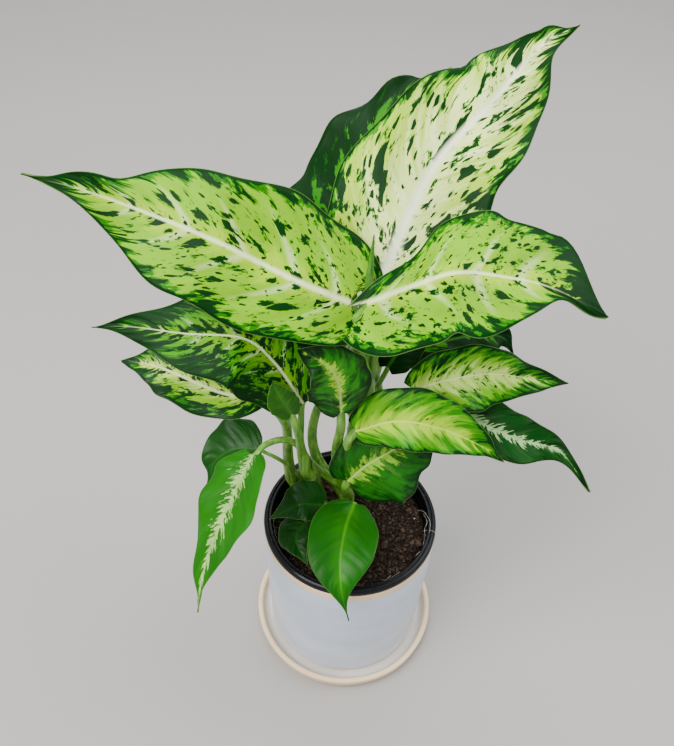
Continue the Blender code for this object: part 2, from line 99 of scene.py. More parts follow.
# %% Node tree tools
class Nodes:
    """Adds nodes to a tree; an input may be a number, a colour or another node's output."""

    def __init__(self, tree):
        self.tree = tree

    def add(self, kind, inputs=(), out=0, **settings):
        """Adds a node, plugs in its inputs and gives back the chosen output."""
        node = self.tree.nodes.new(kind)
        for key, value in settings.items():
            setattr(node, key, value)
        for key, value in dict(inputs).items():
            self.plug(node.inputs[key], value)
        return node.outputs[out]

    def plug(self, socket, value):
        """Links another node's output to the socket, or sets the socket's own value."""
        if isinstance(value, bpy.types.NodeSocket):
            self.tree.links.new(value, socket)
        else:
            socket.default_value = value

    def math(self, operation, first, second=0.0, clamp=False):
        """One sum, product or other step of arithmetic."""
        return self.add(
            "ShaderNodeMath", {0: first, 1: second}, operation=operation, use_clamp=clamp
        )

    def join(self, x, y, z=0.0):
        """Three numbers as one vector."""
        return self.add("ShaderNodeCombineXYZ", {0: x, 1: y, 2: z})

    def split(self, vector):
        """A vector's three numbers."""
        node = self.tree.nodes.new("ShaderNodeSeparateXYZ")
        self.plug(node.inputs[0], vector)
        return node.outputs

    def scale(self, vector, by):
        """A vector or colour with each of its numbers multiplied."""
        return self.add("ShaderNodeVectorMath", {0: vector, 1: by}, operation="MULTIPLY")

    def times(self, *factors):
        """The product of any number of values."""
        product = factors[0]
        for factor in factors[1:]:
            product = self.math("MULTIPLY", product, factor)
        return product

    def about_middle(self, value, amount):
        """Shifts a 0 to 1 noise so that it swings about zero, and sets how far it swings."""
        return self.math("MULTIPLY", self.math("SUBTRACT", value, 0.5), amount)

    def noise(self, vector, scale, detail=2.0, roughness=0.5):
        """Soft cloudy noise between 0 and 1."""
        return self.add(
            "ShaderNodeTexNoise",
            {"Vector": vector, "Scale": scale, "Detail": detail, "Roughness": roughness},
        )

    def rise(self, value, low, high, start=0.0, end=1.0):
        """Goes softly from start to end while the value goes from low to high."""
        return self.add(
            "ShaderNodeMapRange",
            {"Value": value, "From Min": low, "From Max": high, "To Min": start, "To Max": end},
            interpolation_type="SMOOTHSTEP",
        )

    def mix(self, share, first, second):
        """Mixes two colours."""
        node = self.tree.nodes.new("ShaderNodeMix")
        node.data_type = "RGBA"
        self.plug(node.inputs[0], share)
        self.plug(node.inputs[6], first)
        self.plug(node.inputs[7], second)
        return node.outputs[2]


def new_group(name, inputs, outputs, kind="ShaderNodeTree"):
    """An empty node group with named inputs, as (name, type, default), and outputs."""
    group = bpy.data.node_groups.new(name, kind)
    for label, socket_type, default in inputs:
        socket = group.interface.new_socket(label, in_out="INPUT", socket_type=socket_type)
        if default is not None:
            socket.default_value = default
    for label, socket_type in outputs:
        group.interface.new_socket(label, in_out="OUTPUT", socket_type=socket_type)
    nodes = Nodes(group)
    given = group.nodes.new("NodeGroupInput").outputs
    result = group.nodes.new("NodeGroupOutput").inputs
    return group, nodes, given, result


def emboss(nodes, shader, height, strength, distance):
    """Makes a height pattern show as fine bumps, up to the distance in metres."""
    bump = nodes.add(
        "ShaderNodeBump", {"Strength": strength, "Distance": distance, "Height": height}
    )
    nodes.plug(shader.inputs["Normal"], bump)


def new_material(name, preview):
    """A material with its Principled shader; preview is its plain colour in the viewport."""
    made = bpy.data.materials.new(name)
    made.use_nodes = True
    made.diffuse_color = preview
    shader = made.node_tree.nodes["Principled BSDF"]
    return made, Nodes(made.node_tree), shader


FLOAT, COLOUR = "NodeSocketFloat", "NodeSocketColor"
print("node tools ready")

# %% [markdown]
# ## Floor and light
# The floor is a wide pale sheet. The light is that of a room with big windows: one broad soft
# lamp high at the left, a weaker one at the right, and a little light from everywhere, so that
# the shadows stay soft and the leaves keep a gentle gloss.

# %% Floor and light
FLOOR_SIZE = 6.0
FLOOR_DEEP, FLOOR_LIGHT = (0.35, 0.335, 0.325, 1), (0.37, 0.357, 0.345, 1)
floor_mesh = bpy.data.meshes.new("floor")
half = FLOOR_SIZE / 2
floor_mesh.from_pydata(
    [(-half, -half, 0), (half, -half, 0), (half, half, 0), (-half, half, 0)], [], [(0, 1, 2, 3)]
)
floor = bpy.data.objects.new("floor", floor_mesh)
bpy.context.scene.collection.objects.link(floor)
floor_paint, nodes, shader = new_material("floor_paint", (0.6, 0.59, 0.58, 1))
mottle = nodes.noise(nodes.add("ShaderNodeTexCoord", out="Object"), 3.0, 3.0)
nodes.plug(
    shader.inputs["Base Color"],
    nodes.mix(mottle, FLOOR_DEEP, FLOOR_LIGHT),
)
shader.inputs["Roughness"].default_value = 0.9
floor_mesh.materials.append(floor_paint)
floor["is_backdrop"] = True

LIT_PLACE = Vector((0.0, 0.0, 0.2))
SKY_COLOUR, SKY_STRENGTH = (0.95, 0.97, 1.0, 1), 0.75
LAMPS = {
    # name: (place, size across, watts, colour)
    "window": ((-0.9, -0.7, 1.7), 1.5, 62.0, (1.0, 0.985, 0.96)),
    "far_window": ((1.3, 0.2, 1.4), 1.3, 20.0, (0.97, 0.985, 1.0)),
    "ceiling": ((0.1, 0.9, 1.9), 1.5, 26.0, (1.0, 1.0, 1.0)),
}
for name, (place, size, watts, colour) in LAMPS.items():
    lamp = bpy.data.lights.new(name, "AREA")
    lamp.shape = "DISK"
    lamp.size = size
    lamp.energy = watts
    lamp.color = colour
    holder = bpy.data.objects.new(name, lamp)
    holder.location = place
    aim = LIT_PLACE - holder.location
    holder.rotation_euler = aim.to_track_quat("-Z", "Y").to_euler()
    bpy.context.scene.collection.objects.link(holder)

world = bpy.data.worlds.new("room")
world.use_nodes = True
sky = world.node_tree.nodes["Background"]
sky.inputs["Color"].default_value = SKY_COLOUR
sky.inputs["Strength"].default_value = SKY_STRENGTH
bpy.context.scene.world = world
print("floor and", len(LAMPS), "lamps")

# %% [markdown]
# ## From points to pieces
# A finished piece is one object at the origin whose place is in its mesh. Most pieces here are
# lofts: rings of points joined into a closed skin. The helper also stores named values on the
# points, which the leaf material reads to know where on a leaf it is.


# %% Mesh helpers
def add_piece(name, points, faces, materials, values=None, slots=None):
    """Makes a smooth mesh object. values: name to one 3-vector per point."""
    mesh = bpy.data.meshes.new(name)
    mesh.from_pydata([tuple(p) for p in points], [], faces)
    for label, rows in (values or {}).items():
        layer = mesh.attributes.new(label, "FLOAT_VECTOR", "POINT")
        layer.data.foreach_set("vector", np.asarray(rows, dtype=np.float32).ravel())
    for material in materials:
        mesh.materials.append(material)
    if slots is not None:
        mesh.polygons.foreach_set("material_index", slots)
    mesh.shade_smooth()
    mesh.validate()
    piece = bpy.data.objects.new(name, mesh)
    bpy.context.scene.collection.objects.link(piece)
    return piece


def loft_faces(ring_count, around):
    """Quads between closed rings, and a cap on each end."""
    faces = []
    for ring in range(ring_count - 1):
        for step in range(around):
            after = (step + 1) % around
            near, far = ring * around, (ring + 1) * around
            faces.append((near + step, near + after, far + after, far + step))
    faces.append(tuple(range(around)))
    faces.append(tuple(range((ring_count - 1) * around, ring_count * around))[::-1])
    return faces


def settle(piece, slot, *nodes_replaced):
    """Every piece here is part of the one still body, and stands for its own node."""
    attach(piece, "root")
    if nodes_replaced:
        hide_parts(*nodes_replaced)
    return piece


def smooth(low, high, value):
    """Goes softly from 0 to 1 while the value goes from low to high."""
    t = min(max((value - low) / (high - low), 0.0), 1.0)
    return t * t * (3 - 2 * t)


def through(points, share):
    """A point on the smooth Catmull-Rom line through the points, with share from 0 to 1."""
    spans = len(points) - 1
    place = min(share * spans, spans - 1e-9)
    index = int(place)
    t = place - index
    here, there = points[index], points[index + 1]
    before = points[index - 1] if index else here * 2 - there
    after = points[index + 2] if index + 2 <= spans else there * 2 - here
    return 0.5 * (
        here * 2
        + (there - before) * t
        + (before * 2 - here * 5 + there * 4 - after) * t**2
        + (here * 3 - before - there * 3 + after) * t**3
    )


def points_mm(triples):
    """Places given in millimetres, as vectors in metres."""
    return [Vector(triple) * MM for triple in triples]


print("mesh helpers ready")

# %% [markdown]
# ## The canes' measurements
# The canes are the plant's stems. Each is a radius and a short list of points in millimetres,
# from its foot to its growing tip. They could be drawn as curves in the viewport, but numbers
# can be read, compared and changed. The frame's solids follow the same measurements.

# %% Cane measurements
CANES = {
    # name: (radius, (foot, ..., tip))
    "main": (5.0, ((-4, 24, 130), (-3, 20, 190), (-1, 14, 250), (0, 11, 300))),
    "left": (5.0, ((-36, 30, 130), (-39, 27.5, 146), (-42, 25, 162))),
    "left_front": (4.5, ((-21, 18, 130), (-26, 14.5, 160), (-30, 11, 190))),
    "right": (4.5, ((14, 24, 130), (16, 24, 175), (18, 22.5, 214))),
    "back": (4.5, ((3, 45, 130), (6, 44, 190), (10, 41, 240))),
    "front": (3.5, ((-7, -6, 130), (-8, -7, 139), (-8, -8, 149))),
}
CANE_TAPER = 0.35
PLANTED = 22 * MM
HALVINGS = 24


def cane_point(cane, height):
    """The cane's middle at this height in metres, and its radius there."""
    radius, line = CANES[cane]
    points = points_mm(line)
    low, high = 0.0, 1.0
    for _ in range(HALVINGS):
        middle = (low + high) / 2
        if through(points, middle).z < height:
            low = middle
        else:
            high = middle
    share = min(max((height - points[0].z) / (points[-1].z - points[0].z), 0.0), 1.0)
    return through(points, low), radius * MM * (1.0 - CANE_TAPER * share)


print(len(CANES), "canes, tallest tip", max(line[-1][2] for _, line in CANES.values()), "mm")

# %% [markdown]
# ## Twenty-one leaves in words
# The leaves could all be copies of one, turned and scaled, but a plant's leaves differ in age and
# in the light they grew in, and the eye sees it at once. So each leaf is its midrib's points from
# base to tip, its width, and the face, which is the way its upper side looks. The remaining words
# say how it differs: a drawn-out tip, one half broader than the other, a twist in degrees, waves
# along the margin, a bow in the petiole and the side of the cane where that starts. The shape is
# a few bumps and nicks: which margin, how far towards the tip, how much and how wide.

# %% Leaf measurements
LEAVES = []
PLAIN_LEAF = dict(
    side=None, bow=(0, 0, 0), stalk=2.2, widest=0.66, skew=0.0, taper=0.6, uneven=0.0,
    twist=0.0, fold=0.12, lobes=6.0, lean=0.0, waves=3.0, ripple=2.0, shape=(),
    look="lime", slot="leaf_lime",
)


def leaf(name, cane, at, midrib, **differences):
    """Notes one leaf: its cane, the height where its petiole leaves it, and its midrib."""
    row = {**PLAIN_LEAF, **differences}
    row.update(name=name, cane=cane, at=at * MM, midrib=points_mm(midrib))
    row["face"] = Vector(row["face"]).normalized()
    row["index"] = len(LEAVES)
    LEAVES.append(SimpleNamespace(**row))


leaf(
    "top_left", "main", 255,
    (
        (-9, 0, 354), (-42, -2, 371), (-84, 4, 390), (-127, 17, 399), (-166, 33, 401),
        (-203, 48, 399),
    ),
    width=84, face=(0.2, -0.6, 0.77), side=(-0.9, 0.3), stalk=3.0, widest=0.58, skew=0.05,
    uneven=0.08, taper=0.9, twist=-40, fold=0.05, lobes=23, lean=0.1, waves=2.6, ripple=2.5,
    shape=((-1, 0.5, -0.16, 0.16), (-1, 0.69, -0.30, 0.06), (-1, 0.85, 0.45, 0.07)),
)
leaf(
    "top_tall", "main", 280,
    ((8, 16, 356), (16, 28, 375), (36, 59, 410), (72, 95, 437), (96, 121, 455), (120, 134, 464)),
    width=84, face=(-0.25, -0.6, 0.75), side=(0.8, 0.5), stalk=3.0, taper=0.7, lobes=17,
    waves=3.4, ripple=2.5, look="cream", slot="leaf_cream",
    shape=(
        (1, 0.25, 0.16, 0.2), (1, 0.6, -0.10, 0.03), (1, 0.7, 0.10, 0.05),
        (1, 0.83, -0.16, 0.025), (1, 0.9, 0.25, 0.04),
    ),
)
leaf(
    "top_back", "main", 268,
    ((-8, 20, 345), (-12, 62, 360), (-2, 112, 384), (24, 158, 404), (54, 180, 410)),
    width=82, face=(-0.35, -0.35, 0.87), side=(-0.5, 0.85), stalk=2.8, lobes=8,
    waves=4.5, ripple=4.5, look="mottled", slot="leaf_dark",
    shape=(
        (1, 0.35, 0.05, 0.05), (1, 0.5, -0.07, 0.04), (1, 0.65, 0.06, 0.05),
        (1, 0.8, -0.1, 0.03),
    ),
)
leaf(
    "top_right", "main", 238,
    ((0, -9, 362), (24, -12, 378), (46, -14, 390), (70, -17, 391), (98, -16, 384), (134, -14, 364)),
    width=88, face=(0.0, -0.3, 0.95), side=(1.0, 0.2), stalk=3.0, widest=0.92, skew=0.32,
    taper=0.5, uneven=0.08, fold=0.05, lobes=20, lean=-0.1, waves=2.5, ripple=2.5,
    shape=(
        (1, 0.72, 0.30, 0.10), (1, 0.87, 1.0, 0.09), (1, 0.79, -0.06, 0.02),
        (1, 0.2, -0.14, 0.14), (-1, 0.32, -0.16, 0.2), (-1, 0.86, -0.6, 0.09),
    ),
)
leaf(
    "mid_left_upper", "main", 158,
    ((-36, -2, 268), (-54, 0, 302), (-73, 2, 320), (-109, 5, 319), (-144, 9, 319), (-167, 8, 318)),
    width=64, face=(0.0, -0.64, 0.77), side=(-1.0, -0.5), bow=(-26, 4, -22), stalk=2.3,
    widest=0.62, taper=0.8, lobes=7, look="shaded_lime",
)
leaf(
    "mid_left_lower", "left", 146,
    ((-64, -1, 270), (-89, -3, 276), (-120, 5, 284), (-138, 11, 285), (-156, 15, 282)),
    width=38, face=(0.0, -0.5, 0.87), side=(-0.8, 0.2), stalk=3.2, widest=0.7, taper=0.3,
    lobes=5, look="small_lime",
)
leaf(
    "young_left", "left_front", 180,
    ((-43, -12, 268), (-50, -10, 281), (-55, -7, 292)),
    width=20, face=(0.1, -0.8, 0.5), side=(-1.0, -0.3), stalk=2.6, taper=0.1, lobes=3,
    ripple=0.5, look="young", slot="leaf_green",
)
leaf(
    "low_left_hanging", "left_front", 186,
    ((-68, -20, 235), (-76, -36, 227), (-86, -54, 207), (-97, -72, 181), (-102, -92, 153)),
    width=46, face=(-0.6, -0.6, 0.4), side=(-0.8, -0.6), bow=(4, 0, 20), lobes=4,
    look="streaked", slot="leaf_green",
)
leaf(
    "low_left_dark", "left", 140,
    ((-65, -2, 218), (-84, 0, 215), (-99, -3, 203), (-104, -11, 185)),
    width=44, face=(-0.2, -0.4, 0.87), side=(-1.0, -0.8), stalk=1.4, widest=0.6, taper=0.8,
    lobes=1, look="plain_dark", slot="leaf_dark",
)
# This leaf takes the lighter copy of the feathered look, painted light because it lies in the shade
# under the top leaves.
leaf(
    "mid_front", "main", 176,
    ((-11, -11, 271), (-14, -13, 300), (-22, -14, 317), (-39, -11, 325)),
    width=42, face=(0.2, -0.85, 0.5), side=(-0.9, -0.5), stalk=3.0, widest=0.75, taper=0.3,
    lobes=5, ripple=1.2, look="feathered_painted_lit", slot="leaf_green",
)
leaf(
    "mid_right", "right", 208,
    ((35, 6, 277), (53, 1, 292), (79, 1, 300), (105, 1, 298), (132, 4, 292)),
    width=42, face=(0.1, -0.7, 0.7), side=(0.9, -0.4), taper=0.4, uneven=0.08, lobes=7,
    look="cream_streaks",
)
leaf(
    "mid_right_front", "main", 168,
    ((-1, -9, 251), (24, -18, 273), (51, -24, 275), (77, -30, 267), (93, -33, 256)),
    width=40, face=(0.05, -0.7, 0.7), side=(0.3, -1.0), stalk=3.0, widest=0.62,
    uneven=-0.1, lobes=5, look="brushed_lime",
)
leaf(
    "right_outer", "back", 215,
    ((49, 9, 261), (77, -4, 261), (105, -15, 257), (133, -17, 249), (157, -29, 223)),
    width=35, face=(0.1, -0.6, 0.75), side=(0.9, -0.3), widest=0.62, lobes=5,
    look="streaked_dark", slot="leaf_dark",
)
leaf(
    "low_right", "main", 140,
    ((-4, -6, 192), (8, -9, 215), (26, -8, 233), (43, -1, 244), (60, 8, 249)),
    width=60, face=(0.05, -0.8, 0.6), side=(0.3, -1.0), stalk=2.8, widest=0.6, taper=0.35,
    uneven=0.2, lobes=8, ripple=0.6, look="feathered", slot="leaf_green",
    shape=((-1, 0.55, -0.16, 0.12),),
)
leaf(
    "mid_back_right", "back", 228,
    ((14, 34, 283), (48, 40, 288), (80, 50, 288), (98, 52, 284), (105, 48, 274)),
    width=38, face=(0.0, -0.5, 0.87), side=(1.0, 0.0), look="mottled", slot="leaf_dark",
)
leaf(
    "mid_back", "back", 224,
    ((18, 18, 285), (25, 21, 299), (36, 28, 313), (48, 35, 319)),
    width=28, face=(0.0, -0.6, 0.8), side=(0.1, -1.0), stalk=1.8, lobes=4,
    ripple=1.0, look="mottled", slot="leaf_dark",
)
leaf(
    "low_front", "front", 143,
    ((2, -8, 168), (-4, -31, 170), (-7, -55, 166), (-5, -73, 155), (1, -83, 134)),
    width=49, face=(0.0, -0.4, 0.9), side=(0.9, -0.4), widest=0.7, taper=0.95, lobes=3,
    waves=1.2, ripple=0.8, look="plain_green", slot="leaf_green",
)
leaf(
    "low_front_left", "left_front", 140,
    ((-20, -6, 162), (-38, -12, 169), (-60, -14, 152)),
    width=30, face=(-0.1, -0.5, 0.85), side=(-0.1, -1.0), stalk=1.8, uneven=0.15, lobes=2,
    ripple=0.5, look="plain_dark", slot="leaf_dark",
)
leaf(
    "low_front_under", "front", 137,
    ((-31, -8, 149), (-40, -24, 143), (-30, -42, 136)),
    width=28, face=(-0.1, -0.1, 0.98), side=(-1.0, 0.1), stalk=1.5, lobes=3,
    ripple=0.5, look="plain_dark", slot="leaf_dark",
)
leaf(
    "back_left", "main", 146,
    ((-8, 66, 262), (-28, 88, 280), (-52, 108, 284), (-74, 122, 276)),
    width=46, face=(0.1, 0.3, 0.95), side=(-1.0, 0.5), bow=(-38, 4, 0), stalk=3.0,
    look="mottled", slot="leaf_dark",
)
leaf(
    "back_right", "back", 196,
    ((20, 70, 250), (40, 88, 268), (62, 106, 272), (84, 118, 262)),
    width=44, face=(0.0, 0.35, 0.93), side=(0.6, 0.8), look="mottled", slot="leaf_dark",
)
print(len(LEAVES), "leaves, widest", max(row.width for row in LEAVES), "mm")

# %% [markdown]
# ## The shape of a blade
# A blade could be a flat plane cut out by a picture, but from the side it would vanish. Here it
# is a solid skin of sections. Each section crosses the midrib: its half width follows an egg
# shape drawn out to a point, its halves rise from the midrib and curl over, the margins ripple,
# and the side veins press shallow furrows into the upper side.

# %% Outline and section of a blade
VEINS = 8
VEIN_SWEEP = 0.24
FURROW_DEPTH = 0.0105
EDGE_THICKNESS = 0.35 * MM
BLADE_THICKNESS = 0.9 * MM
TIP_HALF_WIDTH = 0.5 * MM
LOBE_SPAN = 0.3
KEEL_DEPTH = 2.2 * MM
KEEL_WIDTH = 1.7 * MM
LOOK_AHEAD = 0.03


def blade_frame(row, share):
    """The blade's middle, its way along, its plus side and its upper side."""
    middle = through(row.midrib, share)
    before = through(row.midrib, max(share - LOOK_AHEAD, 0.0))
    after = through(row.midrib, min(share + LOOK_AHEAD, 1.0))
    along = (after - before).normalized()
    side = along.cross(row.face).normalized()
    side.rotate(Quaternion(along, math.radians(row.twist) * share * share))
    return middle, along, side, side.cross(along)


def half_width(row, share, u):
    """The distance from midrib to margin, with a slight waver along the margin."""
    which = math.copysign(1.0, u)
    rounded = math.sin(math.pi * share ** (row.widest + row.skew * which)) ** 0.75
    drawn_out = 1.0 - row.taper * smooth(0.45, 1.0, share)
    half = row.width * MM / 2 * (1.0 - row.uneven * which)
    waver = 1.0 + 0.03 * math.sin(math.tau * (row.waves * 1.7 * share + 0.3 * row.index + which))
    for at_side, at_share, change, spread in row.shape:
        if at_side == which:
            waver += change * math.exp(-(((share - at_share) / spread) ** 2))
    stem = row.stalk * MM * (1.0 - smooth(0.0, 0.03, share))
    return max(half * rounded * drawn_out * waver, TIP_HALF_WIDTH, stem)


def side_vein(share, u):
    """Where the side vein through this place left the midrib, as a share along it."""
    return share - VEIN_SWEEP * abs(u) ** 1.25 * (1.0 - 0.4 * share)


def blade_lift(row, share, u, wide):
    """The height above the midrib: fold, curl, ripple and furrows."""
    size = abs(u)
    lift = row.fold * wide * (1.6 * size - 0.6 * size * size)
    beat = row.waves * share + 0.37 * row.index + (0.25 if u < 0 else 0.0)
    lift += row.ripple * MM * size**2.5 * math.sin(math.tau * beat) * smooth(0.0, 0.15, share)
    gap = (side_vein(share, u) * VEINS) % 1.0 - 0.5
    strength = smooth(0.04, 0.2, size) * (1.0 - smooth(0.8, 1.0, size))
    furrow = FURROW_DEPTH * row.width * MM
    return lift - furrow * math.exp(-((gap / 0.16) ** 2)) * strength


print("a blade has", VEINS, "pairs of side veins")

# %% [markdown]
# ## The petiole
# A petiole leaves the cane as a sheath that clasps it, climbs, and bends into the midrib. It is
# part of the same growth as the blade, so it is part of the same skin: its round sections pass
# into the blade's flat ones. A channel runs up its inner side.

# %% Petiole line and one leaf's skin
ACROSS = 15
# From margin to margin, with the steps closer together near the midrib.
U_STEPS = [math.copysign(abs(k / ACROSS) ** 1.2, k) for k in range(-ACROSS, ACROSS + 1)]
BLADE_ROWS = 72
PETIOLE_ROWS = 22
MEASURED_SPANS = 20
SHEATH_SPREAD = 0.55
CHANNEL_DEPTH = 0.35
SHEATH_GAP = 0.9 * MM
SUNK_SHARE, SUNK_MOST = 0.2, 14 * MM


def petiole_line(row):
    """The petiole's middle as a function of share, from inside the cane to the blade."""
    core, radius = cane_point(row.cane, row.at)
    base = row.midrib[0]
    outward = Vector((*row.side, 0.0)) if row.side else base - core
    outward.z = 0.0
    outward.normalize()
    start = core + outward * (radius + row.stalk * MM + SHEATH_GAP)
    climb = (base - start).length
    bow = Vector(row.bow) * MM
    first = start + Vector((0.0, 0.0, climb * 0.4)) + outward * climb * 0.06 + bow
    toward = (row.midrib[1] - base).normalized()
    arrive = (toward * 0.8 + Vector((0.0, 0.0, 0.6))).normalized() * climb * 0.3
    last = base - arrive + bow * 0.5
    sunk = core - Vector((0.0, 0.0, min(SUNK_MOST, climb * SUNK_SHARE)))

    def line(share):
        if share < 0.0:
            return start.lerp(sunk, min(-share / 0.15, 1.0))
        s = 1.0 - share
        lower = start * s**3 + first * (3 * s * s * share)
        return lower + last * (3 * s * share**2) + base * share**3

    return line


def petiole_rings(row, around):
    """Sections from the sheath up to the blade, with (turn, share, 1) for each point."""
    line = petiole_line(row)
    shares = [-0.15 + 1.12 * k / PETIOLE_ROWS for k in range(PETIOLE_ROWS + 1)]
    middles = [line(share) for share in shares] + [row.midrib[0]]
    kept = blade_frame(row, 0.0)[2]
    rings = []
    for index in range(len(shares) - 1, -1, -1):
        along = (middles[index + 1] - middles[max(index - 1, 0)]).normalized()
        kept = (kept - along * kept.dot(along)).normalized()
        upper = kept.cross(along)
        share = max(shares[index], 0.0)
        radius = row.stalk * MM * (1.0 + SHEATH_SPREAD * (1.0 - share) ** 2)
        flat = smooth(0.8, 0.98, share)
        ring = []
        for step in range(around):
            angle = math.tau * (step + 0.5) / around
            channel = math.exp(-(((angle - math.pi / 2) / 0.5) ** 2))
            reach = radius * (1.0 - CHANNEL_DEPTH * channel * (0.4 + 0.6 * (1.0 - share)))
            out, up = math.cos(angle), math.sin(angle) * (1.0 - 0.55 * flat) - 0.6 * flat
            ring.append(middles[index] + (kept * out + upper * up) * reach)
        rings.append(ring)
    return rings[::-1]


def blade_ring(row, share, length):
    """One section of the blade, upper side first, with the values its material reads."""
    middle, along, side, upward = blade_frame(row, share)
    lobe = row.lobes * MM * max(0.0, 1.0 - share / LOBE_SPAN) ** 2 * smooth(0.0, 0.02, share)
    keel = KEEL_DEPTH * (1.0 - share) ** 1.3
    tops, unders, places, veins = [], [], [], []
    for u in U_STEPS:
        wide = half_width(row, share, u)
        back = lobe * abs(u) * (1.0 + row.lean * math.copysign(1.0, u))
        place = middle - side * (u * wide) - along * back
        place += upward * blade_lift(row, share, u, wide)
        inward = 1.0 - abs(u)
        thick = EDGE_THICKNESS + (BLADE_THICKNESS - EDGE_THICKNESS) * smooth(0.0, 0.25, inward)
        rib = math.exp(-((u * wide / (KEEL_WIDTH + keel * 0.3)) ** 2))
        tops.append(place + upward * (thick / 2 - 0.25 * keel * rib))
        unders.append(place - upward * (thick / 2 + keel * rib))
        started = side_vein(share, u) * length
        places.append((u, share, 1.0))
        veins.append((started + 0.7 * row.index, u * wide, inward * wide))
    under_places = [(u, share, -1.0) for u, share, _ in places]
    return tops + unders[::-1], places + under_places[::-1], veins + veins[::-1]


print("a leaf's section has", 2 * len(U_STEPS), "points")

# %% [markdown]
# ## The variegated skin
# A dieffenbachia's pattern isn't random all over. Cream runs out from the midrib along the side
# veins, dark green holds the margin and breaks inwards in ragged fingers, and blotches lie
# along the veins, not across them. A picture could hold one leaf's pattern, but not twenty
# leaves'. So each point of a leaf knows two things: where it is on the blade, and which side
# vein it belongs to. One shared node group turns those into the pattern, and every material
# gives it that kind of leaf's own colours and amounts.

# %% Leaf pattern group
PATTERN_INPUTS = (
    ("Rib colour", COLOUR, (0.72, 0.84, 0.40, 1)),
    ("Pale", COLOUR, (0.42, 0.70, 0.03, 1)),
    ("Flesh", COLOUR, (0.20, 0.44, 0.001, 1)),
    ("Mid", COLOUR, (0.016, 0.125, 0.006, 1)),
    ("Dark", COLOUR, (0.0035, 0.034, 0.005, 1)),
    ("Underside", COLOUR, (0.10, 0.26, 0.045, 1)),
    ("Rib width", FLOAT, 0.0020),
    ("Rib end", FLOAT, 0.95),
    ("Pale reach", FLOAT, 0.35),
    ("Pale ragged", FLOAT, 0.5),
    ("Pale crisp", FLOAT, 0.0),
    ("Vein show", FLOAT, 0.6),
    ("Vein spacing", FLOAT, 0.025),
    ("Margin", FLOAT, 0.005),
    ("Dark margin", FLOAT, 1.0),
    ("Inner dark", FLOAT, 0.62),
    ("Blotch", FLOAT, 0.008),
    ("Speckle", FLOAT, 0.5),
    ("Brushed", FLOAT, 1.6),
    ("Broken", FLOAT, 0.0),
    ("Tip from", FLOAT, 0.86),
    ("Halo", FLOAT, 0.024),
    ("Soft", FLOAT, 0.012),
)
# How far the margin zone, the very edge, the tip and slow clusters shift the dark threshold.
ZONE_PUSH, EDGE_PUSH, TIP_PUSH, CLUSTER_SWING = 0.11, 0.20, 0.27, 0.30
TIP_SPAN = 0.26
ZONE_HALO = 0.075
# How far the grain wanders, in blotches.
WANDER = 1.1
# Cells per blotch, how rare large ones are, and the widest reach, for two sizes of spot.
SPOT_SIZES = ((0.85, 4.5, 0.62), (2.0, 6.0, 0.50))
RAY_WIDTH, RAY_LENGTH = 0.006, 0.045
RIB_FURROWS = 0.0016
EDGE_COLOUR = (0.20, 0.36, 0.07, 1)
pattern, n, given, result = new_group(
    "leaf pattern", PATTERN_INPUTS, (("Colour", COLOUR), ("Roughness", FLOAT), ("Height", FLOAT))
)
across, along_blade, topside = n.split(
    n.add("ShaderNodeAttribute", attribute_name="leaf_place", out="Vector")
)
vein_start, from_rib, from_edge = n.split(
    n.add("ShaderNodeAttribute", attribute_name="vein_place", out="Vector")
)
outward = n.math("ABSOLUTE", across)
rib_distance = n.math("ABSOLUTE", from_rib)

# Blotches lie along the side veins: their grain is stretched away from the midrib.
size = given["Blotch"]
grain = n.join(
    n.math("DIVIDE", vein_start, size),
    n.math("DIVIDE", from_rib, n.times(size, given["Brushed"])),
)
# A slow wander breaks that grain up, so the blotches come out angular and not combed.
wander = n.add("ShaderNodeTexNoise", {"Vector": grain, "Scale": 0.7, "Detail": 2.0}, out=1)
wander = n.add("ShaderNodeVectorMath", {0: wander, 1: (0.5, 0.5, 0.5)}, operation="SUBTRACT")
wander = n.scale(wander, (WANDER, WANDER, 0.0))
wandered = n.add("ShaderNodeVectorMath", {0: grain, 1: wander}, operation="ADD")
big = n.noise(wandered, 1.0, 5.0, 0.62)
fine = n.noise(wandered, 2.9, 4.0, 0.62)
clusters = n.noise(grain, 0.33, 2.0)
near_wide = n.rise(from_edge, 0.0, n.times(given["Margin"], 2.6), 1.0, 0.0)
near_thin = n.rise(from_edge, 0.0, n.times(given["Margin"], 0.55), 1.0, 0.0)
near_tip = n.rise(along_blade, given["Tip from"], n.math("ADD", given["Tip from"], TIP_SPAN))
push = n.math("ADD", n.times(near_wide, ZONE_PUSH), n.times(near_thin, EDGE_PUSH))
push = n.times(n.math("ADD", push, n.times(near_tip, TIP_PUSH)), given["Dark margin"])
swing = n.about_middle(clusters, CLUSTER_SWING)
bar = n.math("SUBTRACT", n.math("SUBTRACT", given["Inner dark"], push), swing)
dark = n.rise(n.math("SUBTRACT", big, bar), n.times(given["Soft"], -0.5), given["Soft"])

# Single spots are cells of a scattered pattern, most of them tiny and a few of them large.
jitter = n.times(n.math("SUBTRACT", fine, 0.42), 0.8)
jitter = n.math("SUBTRACT", jitter, n.times(swing, 0.7))
spot_depths = []
for cells, steepness, widest in SPOT_SIZES:
    cell = {"Vector": n.scale(wandered, (cells, cells, 0.0)), "Scale": 1.0}
    gap = n.add("ShaderNodeTexVoronoi", cell, out=0, voronoi_dimensions="2D")
    dice = n.add("ShaderNodeTexVoronoi", cell, out=1, voronoi_dimensions="2D")
    reach = n.math("POWER", n.split(dice)[0], steepness)
    reach = n.times(reach, n.times(given["Speckle"], widest))
    spot_depths.append(n.math("SUBTRACT", n.math("SUBTRACT", reach, gap), jitter))
spot_depth = n.math("MAXIMUM", *spot_depths)
any_spots = n.rise(given["Speckle"], 0.0, 0.1)
specks = n.times(n.rise(spot_depth, -0.02, 0.04), any_spots)
speck_halo = n.times(n.rise(spot_depth, -0.10, -0.02, 0.0, 0.6), any_spots)
